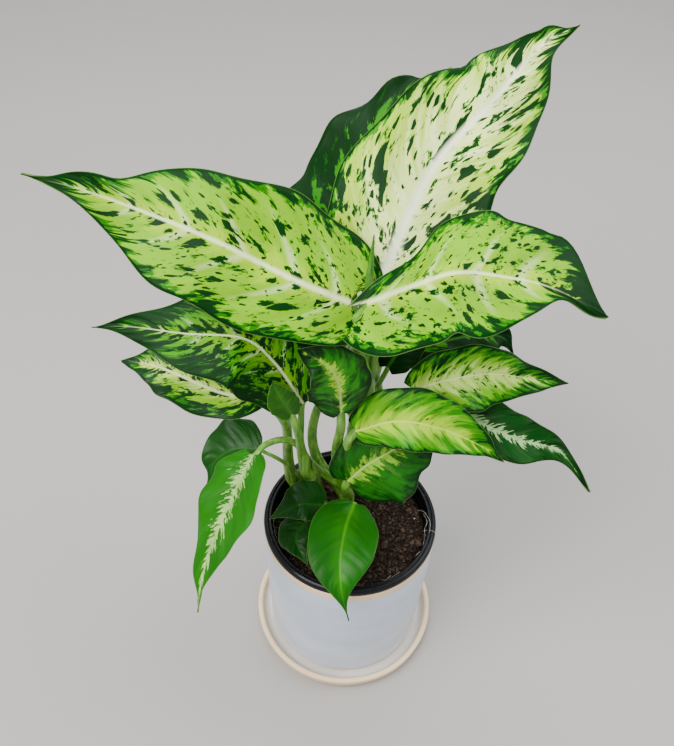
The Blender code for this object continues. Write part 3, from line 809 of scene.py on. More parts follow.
dark = n.math("MAXIMUM", dark, specks)

# Round every dark mark lies a halo of middle green, broader towards the margin.
halo = n.math("ADD", given["Halo"], n.times(near_wide, given["Dark margin"], ZONE_HALO))
past_bar = n.math("SUBTRACT", n.math("ADD", big, halo), bar)
mid = n.rise(past_bar, n.times(given["Soft"], -1.5), n.times(given["Soft"], 1.8))
mid = n.math("MAXIMUM", mid, speck_halo)

# Cream runs out from the midrib in rays that follow the veins.
ray = n.join(n.math("DIVIDE", vein_start, RAY_WIDTH), n.math("DIVIDE", rib_distance, RAY_LENGTH))
rays = n.about_middle(n.noise(ray, 1.0, 4.0, 0.65), n.times(given["Pale ragged"], 4.0))
reach = n.math("SUBTRACT", 1.0, n.math("DIVIDE", outward, given["Pale reach"]))
low = n.times(given["Pale crisp"], 0.4)
gaps = n.noise(n.scale(grain, (3.4, 2.2, 1.0)), 1.0, 3.0, 0.65)
gaps = n.about_middle(gaps, given["Broken"])
pale = n.math("ADD", n.math("ADD", reach, rays), gaps)
pale = n.rise(pale, low, n.math("SUBTRACT", 0.9, low))

# Side veins are thin pale lines, bent a little, that fade towards the margin and the tip.
bend = n.join(n.math("DIVIDE", from_rib, 0.02), n.math("DIVIDE", vein_start, 0.03))
bend = n.noise(bend, 1.0, 1.0)
vein_phase = n.math("DIVIDE", vein_start, given["Vein spacing"])
vein_phase = n.math("ADD", vein_phase, n.times(bend, 0.3))
from_vein = n.math("ABSOLUTE", n.math("SUBTRACT", n.math("FRACT", vein_phase), 0.5))
vein_line = n.rise(from_vein, 0.0, n.rise(outward, 0.0, 0.8, 0.17, 0.07), 1.0, 0.0)
vein_fade = n.times(n.rise(outward, 0.15, 0.85, 1.0, 0.0), given["Vein show"])
vein_fade = n.times(vein_fade, n.rise(along_blade, 0.7, 0.88, 1.0, 0.0))
vein = n.times(vein_line, vein_fade)
rib_half = n.times(given["Rib width"], n.math("SUBTRACT", 1.1, along_blade, clamp=True))
rib = n.rise(n.math("DIVIDE", rib_distance, rib_half), 0.1, 1.7, 1.0, 0.0)
rib_fade = n.rise(n.math("DIVIDE", along_blade, given["Rib end"]), 0.6, 1.0, 1.0, 0.0)
rib = n.times(rib, rib_fade)

# The layers go on in turn: flesh, cream, veins, middle green, dark green, midrib.
colour = n.mix(pale, given["Flesh"], given["Pale"])
colour = n.mix(vein, colour, given["Rib colour"])
colour = n.mix(mid, colour, given["Mid"])
colour = n.mix(dark, colour, given["Dark"])
colour = n.mix(rib, colour, given["Rib colour"])
cloud = n.join(n.math("DIVIDE", vein_start, 0.03), n.math("DIVIDE", from_rib, 0.03))
tone = n.rise(n.noise(cloud, 1.0, 3.0), 0.3, 0.7, 0.8, 1.14)
colour = n.scale(colour, n.join(tone, tone, tone))
edge_line = n.rise(from_edge, 0.00005, 0.00045, 0.5, 0.0)
colour = n.mix(edge_line, colour, EDGE_COLOUR)
under = n.mix(n.times(dark, 0.45), given["Underside"], given["Dark"])
under = n.mix(n.times(n.math("MAXIMUM", rib, vein_line), 0.35), under, given["Rib colour"])
is_top = n.rise(topside, -0.2, 0.2)
n.plug(result["Colour"], n.mix(is_top, under, colour))

# Gloss is a little broken up, and the underside is duller. The height is fine ribbing.
shine = n.rise(n.noise(grain, 2.0, 2.0), 0.3, 0.7, 0.30, 0.42)
n.plug(result["Roughness"], n.math("ADD", shine, n.rise(topside, -0.2, 0.2, 0.18, 0.0)))
ribbing = n.math("SINE", n.times(vein_start, math.tau / RIB_FURROWS))
ribbing = n.times(ribbing, n.rise(rib_distance, 0.0, 0.006, 0.0, 0.06))
grainy = n.noise(n.scale(grain, (6.0, 6.0, 6.0)), 1.0, 2.0)
relief = n.math("ADD", ribbing, n.times(grainy, 0.35))
n.plug(result["Height"], n.math("SUBTRACT", relief, n.times(vein_line, 0.5)))
print("leaf pattern group:", len(pattern.nodes), "nodes")

# %% [markdown]
# ## One pattern, a dozen kinds of leaf
# Old leaves near the soil are plain, the youngest on top are mostly lime and cream, and those in
# between are streaked or mottled. Each kind is a list of the group's inputs that differ from its
# defaults: its colours, how far the cream reaches, how much dark there is and how it breaks up.
# Every kind could be a material of its own, but then one better idea would mean twelve repairs.

# %% Leaf looks
LIME = {
    "Flesh": (0.175, 0.41, 0.0, 1), "Pale": (0.31, 0.53, 0.002, 1), "Mid": (0.013, 0.15, 0.001, 1),
    "Dark": (0.002, 0.028, 0.003, 1),
}
GREEN = {
    "Flesh": (0.010, 0.10, 0.003, 1), "Pale": (0.14, 0.36, 0.02, 1),
    "Mid": (0.005, 0.055, 0.003, 1), "Dark": (0.002, 0.022, 0.003, 1),
}
FEATHERED = {
    **GREEN, "Flesh": (0.008, 0.105, 0.002, 1), "Pale": (0.20, 0.44, 0.015, 1),
    "Rib colour": (0.40, 0.60, 0.14, 1), "Pale reach": 0.26, "Pale ragged": 1.3,
    "Pale crisp": 0.5, "Broken": 2.6, "Rib width": 0.0008, "Inner dark": 0.66,
    "Margin": 0.007, "Vein show": 0.1, "Blotch": 0.005, "Brushed": 1.6, "Speckle": 0.0,
    "Halo": 0.08, "Soft": 0.06,
}
LOOKS = {
    "lime": {
        **LIME, "Rib width": 0.0018, "Vein show": 0.45, "Vein spacing": 0.03, "Pale reach": 0.32,
        "Pale ragged": 0.5, "Margin": 0.0046, "Inner dark": 0.61, "Speckle": 1.0,
        "Blotch": 0.0070, "Brushed": 0.9, "Tip from": 0.74,
    },
    "cream": {
        **LIME, "Flesh": (0.34, 0.55, 0.02, 1), "Pale": (0.68, 0.82, 0.26, 1),
        "Rib colour": (0.80, 0.86, 0.58, 1), "Rib width": 0.0036, "Pale reach": 0.85,
        "Pale ragged": 0.7, "Vein show": 0.3, "Blotch": 0.0085, "Inner dark": 0.595,
        "Brushed": 0.8, "Speckle": 1.1, "Margin": 0.0035, "Mid": (0.03, 0.20, 0.004, 1),
        "Tip from": 0.93,
    },
    "small_lime": {
        **LIME, "Pale reach": 0.45, "Margin": 0.0045, "Inner dark": 0.565, "Speckle": 0.9,
        "Blotch": 0.0050, "Brushed": 1.1, "Rib width": 0.0012, "Pale ragged": 0.9,
        "Vein show": 0.2, "Pale": (0.50, 0.68, 0.10, 1),
    },
    "shaded_lime": {
        **LIME, "Flesh": (0.05, 0.27, 0.001, 1), "Pale": (0.15, 0.40, 0.002, 1),
        "Pale reach": 0.4, "Margin": 0.0060, "Inner dark": 0.53, "Speckle": 0.8,
        "Vein spacing": 0.02, "Blotch": 0.0055, "Brushed": 1.1, "Rib width": 0.0009,
        "Pale ragged": 0.9, "Mid": (0.010, 0.10, 0.003, 1), "Vein show": 0.4,
    },
    "brushed_lime": {
        **LIME, "Flesh": (0.11, 0.38, 0.0, 1), "Pale": (0.37, 0.62, 0.004, 1),
        "Rib colour": (0.56, 0.72, 0.10, 1), "Pale reach": 0.6, "Pale ragged": 0.8,
        "Margin": 0.007, "Inner dark": 0.69, "Blotch": 0.0055, "Brushed": 2.6,
        "Rib width": 0.0007, "Speckle": 0.4, "Mid": (0.020, 0.19, 0.002, 1),
        "Vein show": 0.1, "Halo": 0.09, "Soft": 0.05, "Tip from": 0.93,
    },
    "cream_streaks": {
        **LIME, "Flesh": (0.13, 0.40, 0.001, 1), "Pale": (0.54, 0.78, 0.13, 1),
        "Pale reach": 0.7, "Pale ragged": 0.9, "Margin": 0.005, "Inner dark": 0.63,
        "Blotch": 0.0050, "Brushed": 1.5, "Rib width": 0.0006, "Speckle": 0.8,
        "Mid": (0.016, 0.16, 0.002, 1), "Vein show": 0.1, "Halo": 0.06, "Soft": 0.03,
    },
    "mottled": {
        **GREEN, "Flesh": (0.018, 0.18, 0.002, 1), "Rib colour": (0.025, 0.14, 0.01, 1),
        "Pale": (0.04, 0.20, 0.003, 1), "Speckle": 0.6, "Margin": 0.008, "Inner dark": 0.49,
        "Pale reach": 0.4, "Vein show": 0.2, "Blotch": 0.008, "Brushed": 1.1,
        "Rib width": 0.0012,
    },
    "streaked": {
        **GREEN, "Flesh": (0.011, 0.13, 0.003, 1), "Pale": (0.34, 0.54, 0.16, 1),
        "Rib colour": (0.34, 0.54, 0.15, 1), "Pale reach": 0.27, "Pale ragged": 1.0,
        "Pale crisp": 0.95, "Broken": 6.0, "Rib width": 0.0004, "Inner dark": 0.9,
        "Speckle": 0.0, "Vein show": 0.05, "Margin": 0.002, "Dark margin": 0.0,
        "Blotch": 0.006, "Tip from": 0.95,
    },
    "streaked_dark": {
        **GREEN, "Flesh": (0.003, 0.048, 0.004, 1), "Pale": (0.32, 0.54, 0.22, 1),
        "Rib colour": (0.34, 0.52, 0.22, 1), "Pale reach": 0.24, "Pale ragged": 1.2,
        "Pale crisp": 0.95, "Broken": 5.0, "Rib width": 0.0006, "Inner dark": 0.62,
        "Speckle": 0.0, "Vein show": 0.05, "Margin": 0.003, "Blotch": 0.006,
    },
    "feathered": FEATHERED,
    # A lighter copy of the feathered look: painted light for a leaf that lies in the shade under
    # the top leaves.
    "feathered_painted_lit": {
        **FEATHERED, "Flesh": (0.016, 0.20, 0.002, 1), "Pale": (0.36, 0.64, 0.03, 1),
    },
    "plain_green": {
        **GREEN, "Flesh": (0.005, 0.085, 0.001, 1), "Pale": (0.011, 0.13, 0.001, 1),
        "Rib colour": (0.05, 0.23, 0.005, 1), "Rib width": 0.0012, "Inner dark": 0.9,
        "Speckle": 0.0, "Pale ragged": 0.3, "Vein show": 0.15, "Dark margin": 0.0,
        "Pale reach": 0.5,
    },
    "plain_dark": {
        **GREEN, "Flesh": (0.0035, 0.050, 0.002, 1), "Pale": (0.005, 0.065, 0.003, 1),
        "Rib colour": (0.014, 0.09, 0.005, 1), "Rib width": 0.0008, "Inner dark": 0.9,
        "Speckle": 0.0, "Vein show": 0.15, "Dark margin": 0.0,
    },
    "young": {
        **GREEN, "Flesh": (0.012, 0.075, 0.003, 1), "Pale": (0.022, 0.10, 0.005, 1),
        "Rib colour": (0.03, 0.12, 0.01, 1), "Rib width": 0.0008, "Inner dark": 0.9,
        "Speckle": 0.0, "Blotch": 0.004, "Dark margin": 0.0,
    },
}
# The bigger leaves have less of a shine than the small hard ones.
GLOSS = {
    "lime": 0.05, "cream": 0.05, "brushed_lime": 0.08, "cream_streaks": 0.08, "mottled": 0.05,
    "shaded_lime": 0.06, "streaked_dark": 0.08, "streaked": 0.1,
}
USUAL_GLOSS = 0.14


def leaf_material(name, look):
    """The leaf pattern with one kind of leaf's own colours, on a lightly waxed surface."""
    made, nodes, shader = new_material("leaf_" + name, (*look["Flesh"][:3], 1))
    group = made.node_tree.nodes.new("ShaderNodeGroup")
    group.node_tree = pattern
    for label, value in look.items():
        group.inputs[label].default_value = value
    nodes.plug(shader.inputs["Base Color"], group.outputs["Colour"])
    nodes.plug(shader.inputs["Roughness"], group.outputs["Roughness"])
    emboss(nodes, shader, group.outputs["Height"], 0.6, 0.0003)
    shader.inputs["Specular IOR Level"].default_value = GLOSS.get(name, USUAL_GLOSS)
    return made


LEAF_SKINS = {name: leaf_material(name, look) for name, look in LOOKS.items()}
print(len(LEAF_SKINS), "leaf skins")

# %% [markdown]
# ## The skin of petioles and canes
# Stalks are pale green with whitish streaks that run lengthwise, and the canes show rings where
# older leaves have dropped. Both stand nearly upright, so a grain stretched along Z is enough.

# %% Stalk materials
STREAKS = (420.0, 420.0, 22.0)
SCARS = (90.0, 90.0, 240.0)
SCAR_BROWN = (0.16, 0.11, 0.04, 1)


def stalk_material(name, light, deep, streak, brown=0.0):
    """Two greens in soft patches, pale streaks over them, and perhaps some brown scars."""
    made, nodes, shader = new_material(name, light)
    place = nodes.add("ShaderNodeTexCoord", out="Object")
    stripes = nodes.noise(nodes.scale(place, STREAKS), 1.0, 3.0, 0.6)
    patches = nodes.noise(place, 60.0, 3.0)
    colour = nodes.mix(nodes.rise(patches, 0.35, 0.65, 0.0, 0.75), light, deep)
    colour = nodes.mix(nodes.rise(stripes, 0.42, 0.68, 0.0, 0.7), colour, streak)
    if brown:
        scars = nodes.noise(nodes.scale(place, SCARS), 1.0, 2.0)
        share = nodes.rise(scars, 0.62, 0.72, 0.0, brown)
        colour = nodes.mix(share, colour, SCAR_BROWN)
    nodes.plug(shader.inputs["Base Color"], colour)
    nodes.plug(shader.inputs["Roughness"], nodes.rise(patches, 0.3, 0.7, 0.42, 0.55))
    emboss(nodes, shader, stripes, 0.4, 0.0003)
    return made


petiole_skin = stalk_material(
    "petiole_skin", (0.11, 0.31, 0.02, 1), (0.055, 0.19, 0.012, 1), (0.26, 0.46, 0.08, 1)
)
cane_skin = stalk_material(
    "cane_skin", (0.10, 0.25, 0.022, 1), (0.055, 0.16, 0.012, 1), (0.22, 0.36, 0.07, 1), brown=0.35
)
print("stalk skins:", petiole_skin.name, cane_skin.name)

# %% [markdown]
# ## Growing the leaves
# Each leaf is one closed skin, from the sheath inside its cane to the drip tip. Blade and petiole
# could be two pieces pushed into each other, but they grew as one, and a joint would show. The
# faces below the blade take the petiole's skin, and the rest the leaf's own.


# %% Grow the leaves
def grow_leaf(row):
    """One leaf as a piece, and the length of its blade in metres."""
    around = 2 * len(U_STEPS)
    stops = [through(row.midrib, k / MEASURED_SPANS) for k in range(MEASURED_SPANS + 1)]
    length = sum((after - before).length for before, after in zip(stops, stops[1:]))
    rings = petiole_rings(row, around)
    points = [place for ring in rings for place in ring]
    places = [((step / around), -0.5, 1.0) for _ in rings for step in range(around)]
    veins = [(k * 0.002, step * 0.0004, 0.01) for k in range(len(rings)) for step in range(around)]
    for k in range(BLADE_ROWS + 1):
        share = (k / BLADE_ROWS) ** 1.35
        ring, ring_places, ring_veins = blade_ring(row, share, length)
        points += ring
        places += ring_places
        veins += ring_veins
    ring_count = len(rings) + BLADE_ROWS + 1
    faces = loft_faces(ring_count, around)
    stalk_faces = len(rings) * around
    slots = [1 if index < stalk_faces else 0 for index in range(len(faces) - 2)] + [1, 0]
    piece = add_piece(
        "leaf_" + row.name,
        points,
        [face[::-1] for face in faces],
        [LEAF_SKINS[row.look], petiole_skin],
        {"leaf_place": places, "vein_place": veins},
        slots,
    )
    return settle(piece, row.slot, "leaf_" + row.name), length


lengths = {}
for row in LEAVES:
    piece, lengths[row.name] = grow_leaf(row)
print("leaves grown; longest blade", round(max(lengths.values()), 3), "m")
print("faces in one leaf:", len(piece.data.polygons))

# %% [markdown]
# ## Geometry Nodes as a tool
# Canes, roots and crumbs repeat or follow a line, so they are made by node trees with named
# inputs. A tree could stay as a live modifier, but a finished piece is a plain mesh: this helper
# sets the inputs, lets the tree run once, and keeps what it made.


# %% Run a tree once
def grown(name, start, group, **inputs):
    """Runs a Geometry Nodes group on the start mesh and returns a plain mesh object."""
    maker = bpy.data.objects.new(name + ".start", start)
    bpy.context.scene.collection.objects.link(maker)
    modifier = maker.modifiers.new(name, "NODES")
    modifier.node_group = group
    for item in group.interface.items_tree:
        if item.item_type == "SOCKET" and item.in_out == "INPUT" and item.name in inputs:
            modifier[item.identifier] = inputs[item.name]
    graph = bpy.context.evaluated_depsgraph_get()
    mesh = bpy.data.meshes.new_from_object(maker.evaluated_get(graph))
    maker.modifiers.clear()
    bpy.data.objects.remove(maker)
    mesh.name = name
    mesh.shade_smooth()
    piece = bpy.data.objects.new(name, mesh)
    bpy.context.scene.collection.objects.link(piece)
    return piece


def line_mesh(name, lines):
    """Lines of points as a mesh of bare edges."""
    points, edges = [], []
    for line in lines:
        first = len(points)
        points += [tuple(p) for p in line]
        edges += [(first + k, first + k + 1) for k in range(len(line) - 1)]
    mesh = bpy.data.meshes.new(name)
    mesh.from_pydata(points, edges, [])
    return mesh


print("ready to run trees")

# %% [markdown]
# ## The canes
# An older cane carries a ring at every place where a leaf has dropped, and swells a little
# there. The tree sweeps a circle along the cane's line. Its radius is the taper times one small
# bulge per ring, so the rings sit at even lengths however the line bends.

# %% Sweep tree
GEOMETRY = "NodeSocketGeometry"
RING_WIDTH = 0.09
BLUNT_END = 0.16
sweep, n, given, result = new_group(
    "sweep along a line",
    (
        ("Geometry", GEOMETRY, None),
        ("Radius", FLOAT, 0.005),
        ("Taper", FLOAT, 0.35),
        ("Ring spacing", FLOAT, 0.012),
        ("Ring bulge", FLOAT, 0.06),
        ("Step", FLOAT, 0.0008),
        ("Sides", "NodeSocketInt", 24),
        ("Skin", "NodeSocketMaterial", None),
    ),
    (("Geometry", GEOMETRY),),
    "GeometryNodeTree",
)
path = n.add("GeometryNodeMeshToCurve", {"Mesh": given["Geometry"]})
path = n.add(
    "GeometryNodeResampleCurve", {"Curve": path, "Length": given["Step"]}, mode="LENGTH"
)
travelled = n.add("GeometryNodeSplineParameter", out="Length")
done = n.add("GeometryNodeSplineParameter", out="Factor")
phase = n.math("FRACT", n.math("DIVIDE", travelled, given["Ring spacing"]))
off = n.math("DIVIDE", n.math("SUBTRACT", phase, 0.5), RING_WIDTH)
bulge = n.math("EXPONENT", n.times(off, off, -1.0))
bulge = n.math("ADD", 1.0, n.times(bulge, given["Ring bulge"]))
taper = n.math("SUBTRACT", 1.0, n.times(done, given["Taper"]))
thickness = n.times(given["Radius"], taper, bulge)
point = n.math("DIVIDE", n.math("SUBTRACT", 1.0, done), BLUNT_END)
point = n.math("POWER", n.math("MINIMUM", n.math("ADD", point, 0.01), 1.0), 0.5)
thickness = n.times(thickness, point)
circle = n.add("GeometryNodeCurvePrimitiveCircle", {"Resolution": given["Sides"], "Radius": 1.0})
tube = n.add(
    "GeometryNodeCurveToMesh",
    {"Curve": path, "Profile Curve": circle, "Scale": thickness, "Fill Caps": True},
)
tube = n.add("GeometryNodeRealizeInstances", {"Geometry": tube})
tube = n.add("GeometryNodeSetMaterial", {"Geometry": tube, "Material": given["Skin"]})
n.plug(result["Geometry"], tube)
print("sweep tree:", len(sweep.nodes), "nodes")

# %% Canes as pieces
CANE_RING = 11 * MM
CANE_SWELL = 1.03
CANE_STOPS = 40


def grow_cane(name):
    """One cane, from below the soil to its tip."""
    radius, line = CANES[name]
    points = points_mm(line)
    lean = (through(points, 0.08) - points[0]).normalized()
    middle = [points[0] - lean * PLANTED]
    middle += [through(points, k / CANE_STOPS) for k in range(CANE_STOPS + 1)]
    piece = grown(
        "cane_" + name,
        line_mesh("line", [middle]),
        sweep,
        **{
            "Radius": radius * MM * CANE_SWELL, "Taper": CANE_TAPER, "Ring spacing": CANE_RING,
            "Ring bulge": 0.09, "Step": 0.7 * MM, "Sides": 28, "Skin": cane_skin,
        },
    )
    return settle(piece, "cane_skin", "cane_" + name)


for name in CANES:
    piece = grow_cane(name)
print(len(CANES), "canes; faces in the last:", len(piece.data.polygons))

# %% [markdown]
# ## The rolled new leaf
# The next leaf stands at the top as a tight roll. A flat sheet could be rolled up with a Simple
# Deform modifier, but only its outside is ever seen. So its section is just a spiral's outline:
# a circle with one small step where the outer margin lies over the inner one. The step turns
# slowly as it climbs, which gives the twisted seam. It ends in a fine point.

# %% New leaf
# Each pair is a height over the cane's tip and the radius there, in millimetres.
ROLL = (
    (-16, 6.0), (0, 5.2), (30, 5.2), (48, 4.6), (58, 3.0), (70, 1.8), (82, 1.1), (90, 0.6),
    (94.2, 0.3),
)
ROLL_STEPS = 60
ROLL_AROUND = 32
ROLL_LEAN = 0.02
SEAM_START, SEAM_TURN = -1.9, 60
rolled_skin = stalk_material(
    "leaf_rolled", (0.045, 0.20, 0.010, 1), (0.015, 0.10, 0.006, 1), (0.14, 0.32, 0.04, 1)
)
roll_heights, roll_radii = zip(*ROLL)
roll_foot = Vector(CANES["main"][1][-1]) * MM
points = []
for k in range(ROLL_STEPS + 1):
    height = ROLL[0][0] + (ROLL[-1][0] - ROLL[0][0]) * k / ROLL_STEPS
    radius = float(np.interp(height, roll_heights, roll_radii))
    seam = SEAM_START + height / SEAM_TURN
    middle = roll_foot + Vector((height * ROLL_LEAN, 0.0, 0.3 + height)) * MM
    for step in range(ROLL_AROUND):
        turn = math.tau * step / ROLL_AROUND
        lap = 0.16 * (1.0 - turn / math.tau) if height > 4 else 0.0
        reach = radius * (0.92 + lap) * MM
        points.append(middle + Vector((math.cos(turn + seam), math.sin(turn + seam), 0)) * reach)
piece = add_piece("new_leaf", points, loft_faces(ROLL_STEPS + 1, ROLL_AROUND), [rolled_skin])
settle(piece, "leaf_rolled", "new_leaf")
print("new leaf", ROLL[-1][0], "mm tall,", len(points), "points")

# %% [markdown]
# ## The potting soil
# Peat soil isn't a smooth brown disc. Its surface rises and falls by a millimetre or two, and on
# it lie crumbs of every size, chips of bark, a few white grains of perlite and fine roots. A
# bump map alone would look like a print of soil laid on a disc. So the surface is a bumpy skin
# over the root ball, and the loose things are scattered on it by one tree, used five times with
# other shapes, sizes and seeds.

# %% Soil material
soil_skin, nodes, shader = new_material("potting_soil_skin", (0.05, 0.03, 0.02, 1))
place = nodes.add("ShaderNodeTexCoord", out="Object")
lumps = nodes.noise(place, 600.0, 5.0, 0.75)
threads = nodes.noise(nodes.scale(place, (900.0, 500.0, 700.0)), 1.0, 3.0, 0.7)
damp = nodes.noise(place, 35.0, 2.0)
# The lump pattern is also the soil's bump below. Its low spots are painted near black as shade in
# the hollows between lumps, and its tops get the peat's own brown.
PAINTED_HOLLOW_SHADE, LUMPS = (0.0022, 0.0014, 0.001, 1), (0.045, 0.028, 0.019, 1)
FIBRES, DAMP_PEAT = (0.07, 0.042, 0.027, 1), (0.006, 0.004, 0.003, 1)
colour = nodes.mix(nodes.rise(lumps, 0.38, 0.64), PAINTED_HOLLOW_SHADE, LUMPS)
colour = nodes.mix(nodes.rise(threads, 0.62, 0.74), colour, FIBRES)
colour = nodes.mix(nodes.rise(damp, 0.45, 0.7, 0.0, 0.5), colour, DAMP_PEAT)
nodes.plug(shader.inputs["Base Color"], colour)
nodes.plug(shader.inputs["Roughness"], nodes.rise(damp, 0.3, 0.7, 0.95, 0.75))
emboss(nodes, shader, lumps, 1.0, 0.002)
shader.inputs["Specular IOR Level"].default_value = 0.1


def chip_material(name, deep, light, roughness):
    """Bark, peat crumbs and perlite differ in colour, not in kind: a speckled dull surface."""
    made, nodes, shader = new_material(name, light)
    place = nodes.add("ShaderNodeTexCoord", out="Object")
    patches = nodes.noise(place, 1100.0, 3.0, 0.6)
    whole = nodes.noise(place, 280.0, 1.0)
    both = nodes.math("ADD", nodes.times(patches, 0.5), nodes.times(whole, 0.5))
    nodes.plug(shader.inputs["Base Color"], nodes.mix(nodes.rise(both, 0.36, 0.64), deep, light))
    nodes.plug(shader.inputs["Roughness"], nodes.rise(patches, 0.3, 0.7, roughness, 0.95))
    emboss(nodes, shader, patches, 0.8, 0.0004)
    shader.inputs["Specular IOR Level"].default_value = 0.15
    return made


crumb_skin = chip_material(
    "peat_crumbs", (0.0016, 0.001, 0.0008, 1), (0.095, 0.062, 0.045, 1), 0.85
)
bark_skin = chip_material("bark_chips", (0.014, 0.008, 0.005, 1), (0.085, 0.052, 0.034, 1), 0.8)
perlite_skin = chip_material("perlite", (0.14, 0.12, 0.10, 1), (0.55, 0.53, 0.48, 1), 0.9)
root_skin = chip_material("fine_roots", (0.20, 0.17, 0.14, 1), (0.55, 0.52, 0.48, 1), 0.7)
print("soil, crumbs, bark, perlite and roots have their skins")

# %% Root ball and surface
SOIL_TOP = 130 * MM
SOIL_EDGE = 57.6 * MM
SOIL_FOOT_RADIUS = 43.8 * MM
SOIL_BASE = 19.3 * MM
SOIL_RINGS, SOIL_AROUND = 64, 200
SIDE_RINGS = 3
CROWN = 1.5 * MM
# Depth of each kind of unevenness, and how far apart its tops are.
SWELL, SWELL_APART = 1.5 * MM, 22 * MM
CRUMBLE, CRUMBLE_APART = 0.9 * MM, 4.5 * MM
GRIT, GRIT_APART = 0.35 * MM, 1.9 * MM


def soil_height(x, y):
    """Low swells, and a finer crumble that has sharper tops than hollows."""
    low = noise.noise(Vector((x / SWELL_APART, y / SWELL_APART, 3.1)))
    fine = noise.noise(Vector((x / CRUMBLE_APART, y / CRUMBLE_APART, 8.7)))
    finer = noise.noise(Vector((x / GRIT_APART, y / GRIT_APART, 5.5)))
    rim = smooth(0.0, 5 * MM, SOIL_EDGE - math.hypot(x, y))
    rough = SWELL * low + CRUMBLE * (1.0 - 2.2 * abs(fine)) + GRIT * finer
    return SOIL_TOP + CROWN + rough * (0.35 + 0.65 * rim) - CROWN * (1.0 - rim)


def soil_rings():
    """From the foot of the ball, up its side, and in over the surface to the middle."""
    rings = [(SOIL_FOOT_RADIUS - 3 * MM, SOIL_BASE), (SOIL_FOOT_RADIUS, SOIL_BASE + 3 * MM)]
    rings += [(SOIL_EDGE, SOIL_TOP - 5 * MM)]
    made = [
        [Vector((r * math.cos(a), r * math.sin(a), z)) for a in SOIL_ANGLES] for r, z in rings
    ]
    for k in range(SOIL_RINGS):
        r = SOIL_EDGE * (1.0 - k / SOIL_RINGS) ** 0.85
        ring = []
        for a in SOIL_ANGLES:
            x, y = r * math.cos(a), r * math.sin(a)
            ring.append(Vector((x, y, soil_height(x, y))))
        made.append(ring)
    return made


SOIL_ANGLES = [math.tau * k / SOIL_AROUND for k in range(SOIL_AROUND)]
rings = soil_rings()
soil_points = [p for ring in rings for p in ring]
soil = add_piece("potting_soil", soil_points, loft_faces(len(rings), SOIL_AROUND), [soil_skin])
settle(soil, "potting_soil", "potting_soil")
print("soil surface", round(2 * SOIL_EDGE, 3), "m across,", len(soil_points), "points")

# %% [markdown]
# ## What lies on the soil
# Thousands of crumbs could be particles, but a node tree is easier to read and to repeat. It
# picks points on the surface, puts a small faceted ball on each, turns, stretches and dents it,
# and makes most of them small. The balls have few faces, because there are so many of them.

# %% Scatter tree
MOSTLY_SMALL = 2.2
DENT_SPACING = 650.0
scatter, n, given, result = new_group(
    "scatter chips",
    (
        ("Geometry", GEOMETRY, None),
        ("Per square metre", FLOAT, 1000.0),
        ("Smallest", FLOAT, 0.001),
        ("Largest", FLOAT, 0.003),
        ("Flatness", FLOAT, 0.6),
        ("Length", FLOAT, 1.0),
        ("Craggy", FLOAT, 0.3),
        ("Roundness", "NodeSocketInt", 1),
        ("Seed", "NodeSocketInt", 1),
        ("Skin", "NodeSocketMaterial", None),
    ),
    (("Geometry", GEOMETRY),),
    "GeometryNodeTree",
)
places = n.add(
    "GeometryNodeDistributePointsOnFaces",
    {"Mesh": given["Geometry"], "Density": given["Per square metre"], "Seed": given["Seed"]},
)
chip = n.add("GeometryNodeMeshIcoSphere", {"Radius": 0.5, "Subdivisions": given["Roundness"]})
turned = n.add(
    "FunctionNodeRandomValue",
    {0: (-0.5, -0.5, 0.0), 1: (0.5, 0.5, math.tau), "Seed": given["Seed"]},
    data_type="FLOAT_VECTOR",
)
turned = n.add("FunctionNodeEulerToRotation", {"Euler": turned})
next_seed = n.math("ADD", given["Seed"], 7)
dice = n.add("FunctionNodeRandomValue", {2: 0.0, 3: 1.0, "Seed": next_seed}, out=1)
dice = n.math("POWER", dice, MOSTLY_SMALL)
span = n.math("SUBTRACT", given["Largest"], given["Smallest"])
size = n.math("ADD", given["Smallest"], n.times(dice, span))
shape = n.join(n.times(size, given["Length"]), size, n.times(size, given["Flatness"]))
chips = n.add(
    "GeometryNodeInstanceOnPoints",
    {"Points": places, "Instance": chip, "Rotation": turned, "Scale": shape},
)
chips = n.add("GeometryNodeRealizeInstances", {"Geometry": chips})
spot = n.add("GeometryNodeInputPosition")
dents = {"Vector": spot, "Scale": DENT_SPACING, "Detail": 1.0}
rough = n.add("ShaderNodeTexNoise", dents, out=1)
rough = n.add("ShaderNodeVectorMath", {0: rough, 1: (0.5, 0.5, 0.5)}, operation="SUBTRACT")
shove = n.times(given["Craggy"], n.times(given["Largest"], 2.0))
rough = n.scale(rough, n.join(shove, shove, shove))
chips = n.add("GeometryNodeSetPosition", {"Geometry": chips, "Offset": rough})
chips = n.add("GeometryNodeSetMaterial", {"Geometry": chips, "Material": given["Skin"]})
n.plug(result["Geometry"], chips)
print("scatter tree:", len(scatter.nodes), "nodes")

# %% Crumbs, bark and perlite
def ground(name, keep):
    """The soil's surface, or the part of it that keep(x, y) asks for, to scatter on."""
    mesh = bpy.data.meshes.new(name)
    top = soil_points[SIDE_RINGS * SOIL_AROUND:]
    quads = []
    for ring in range(SOIL_RINGS - 1):
        for step in range(SOIL_AROUND):
            after = (step + 1) % SOIL_AROUND
            near, far = ring * SOIL_AROUND, (ring + 1) * SOIL_AROUND
            centre = (top[near + step] + top[far + after]) / 2
            if centre.xy.length < SOIL_EDGE - 1.5 * MM and keep(centre.x, centre.y):
                quads.append((near + step, near + after, far + after, far + step))
    mesh.from_pydata([tuple(p) for p in top], [], quads)
    return mesh


def everywhere(x, y):
    """All of the surface."""
    return True


def front_right(x, y):
    """A patch by the rim, where watering has washed the light perlite together."""
    return x > 8 * MM and y < 10 * MM and math.hypot(x, y) > 46 * MM


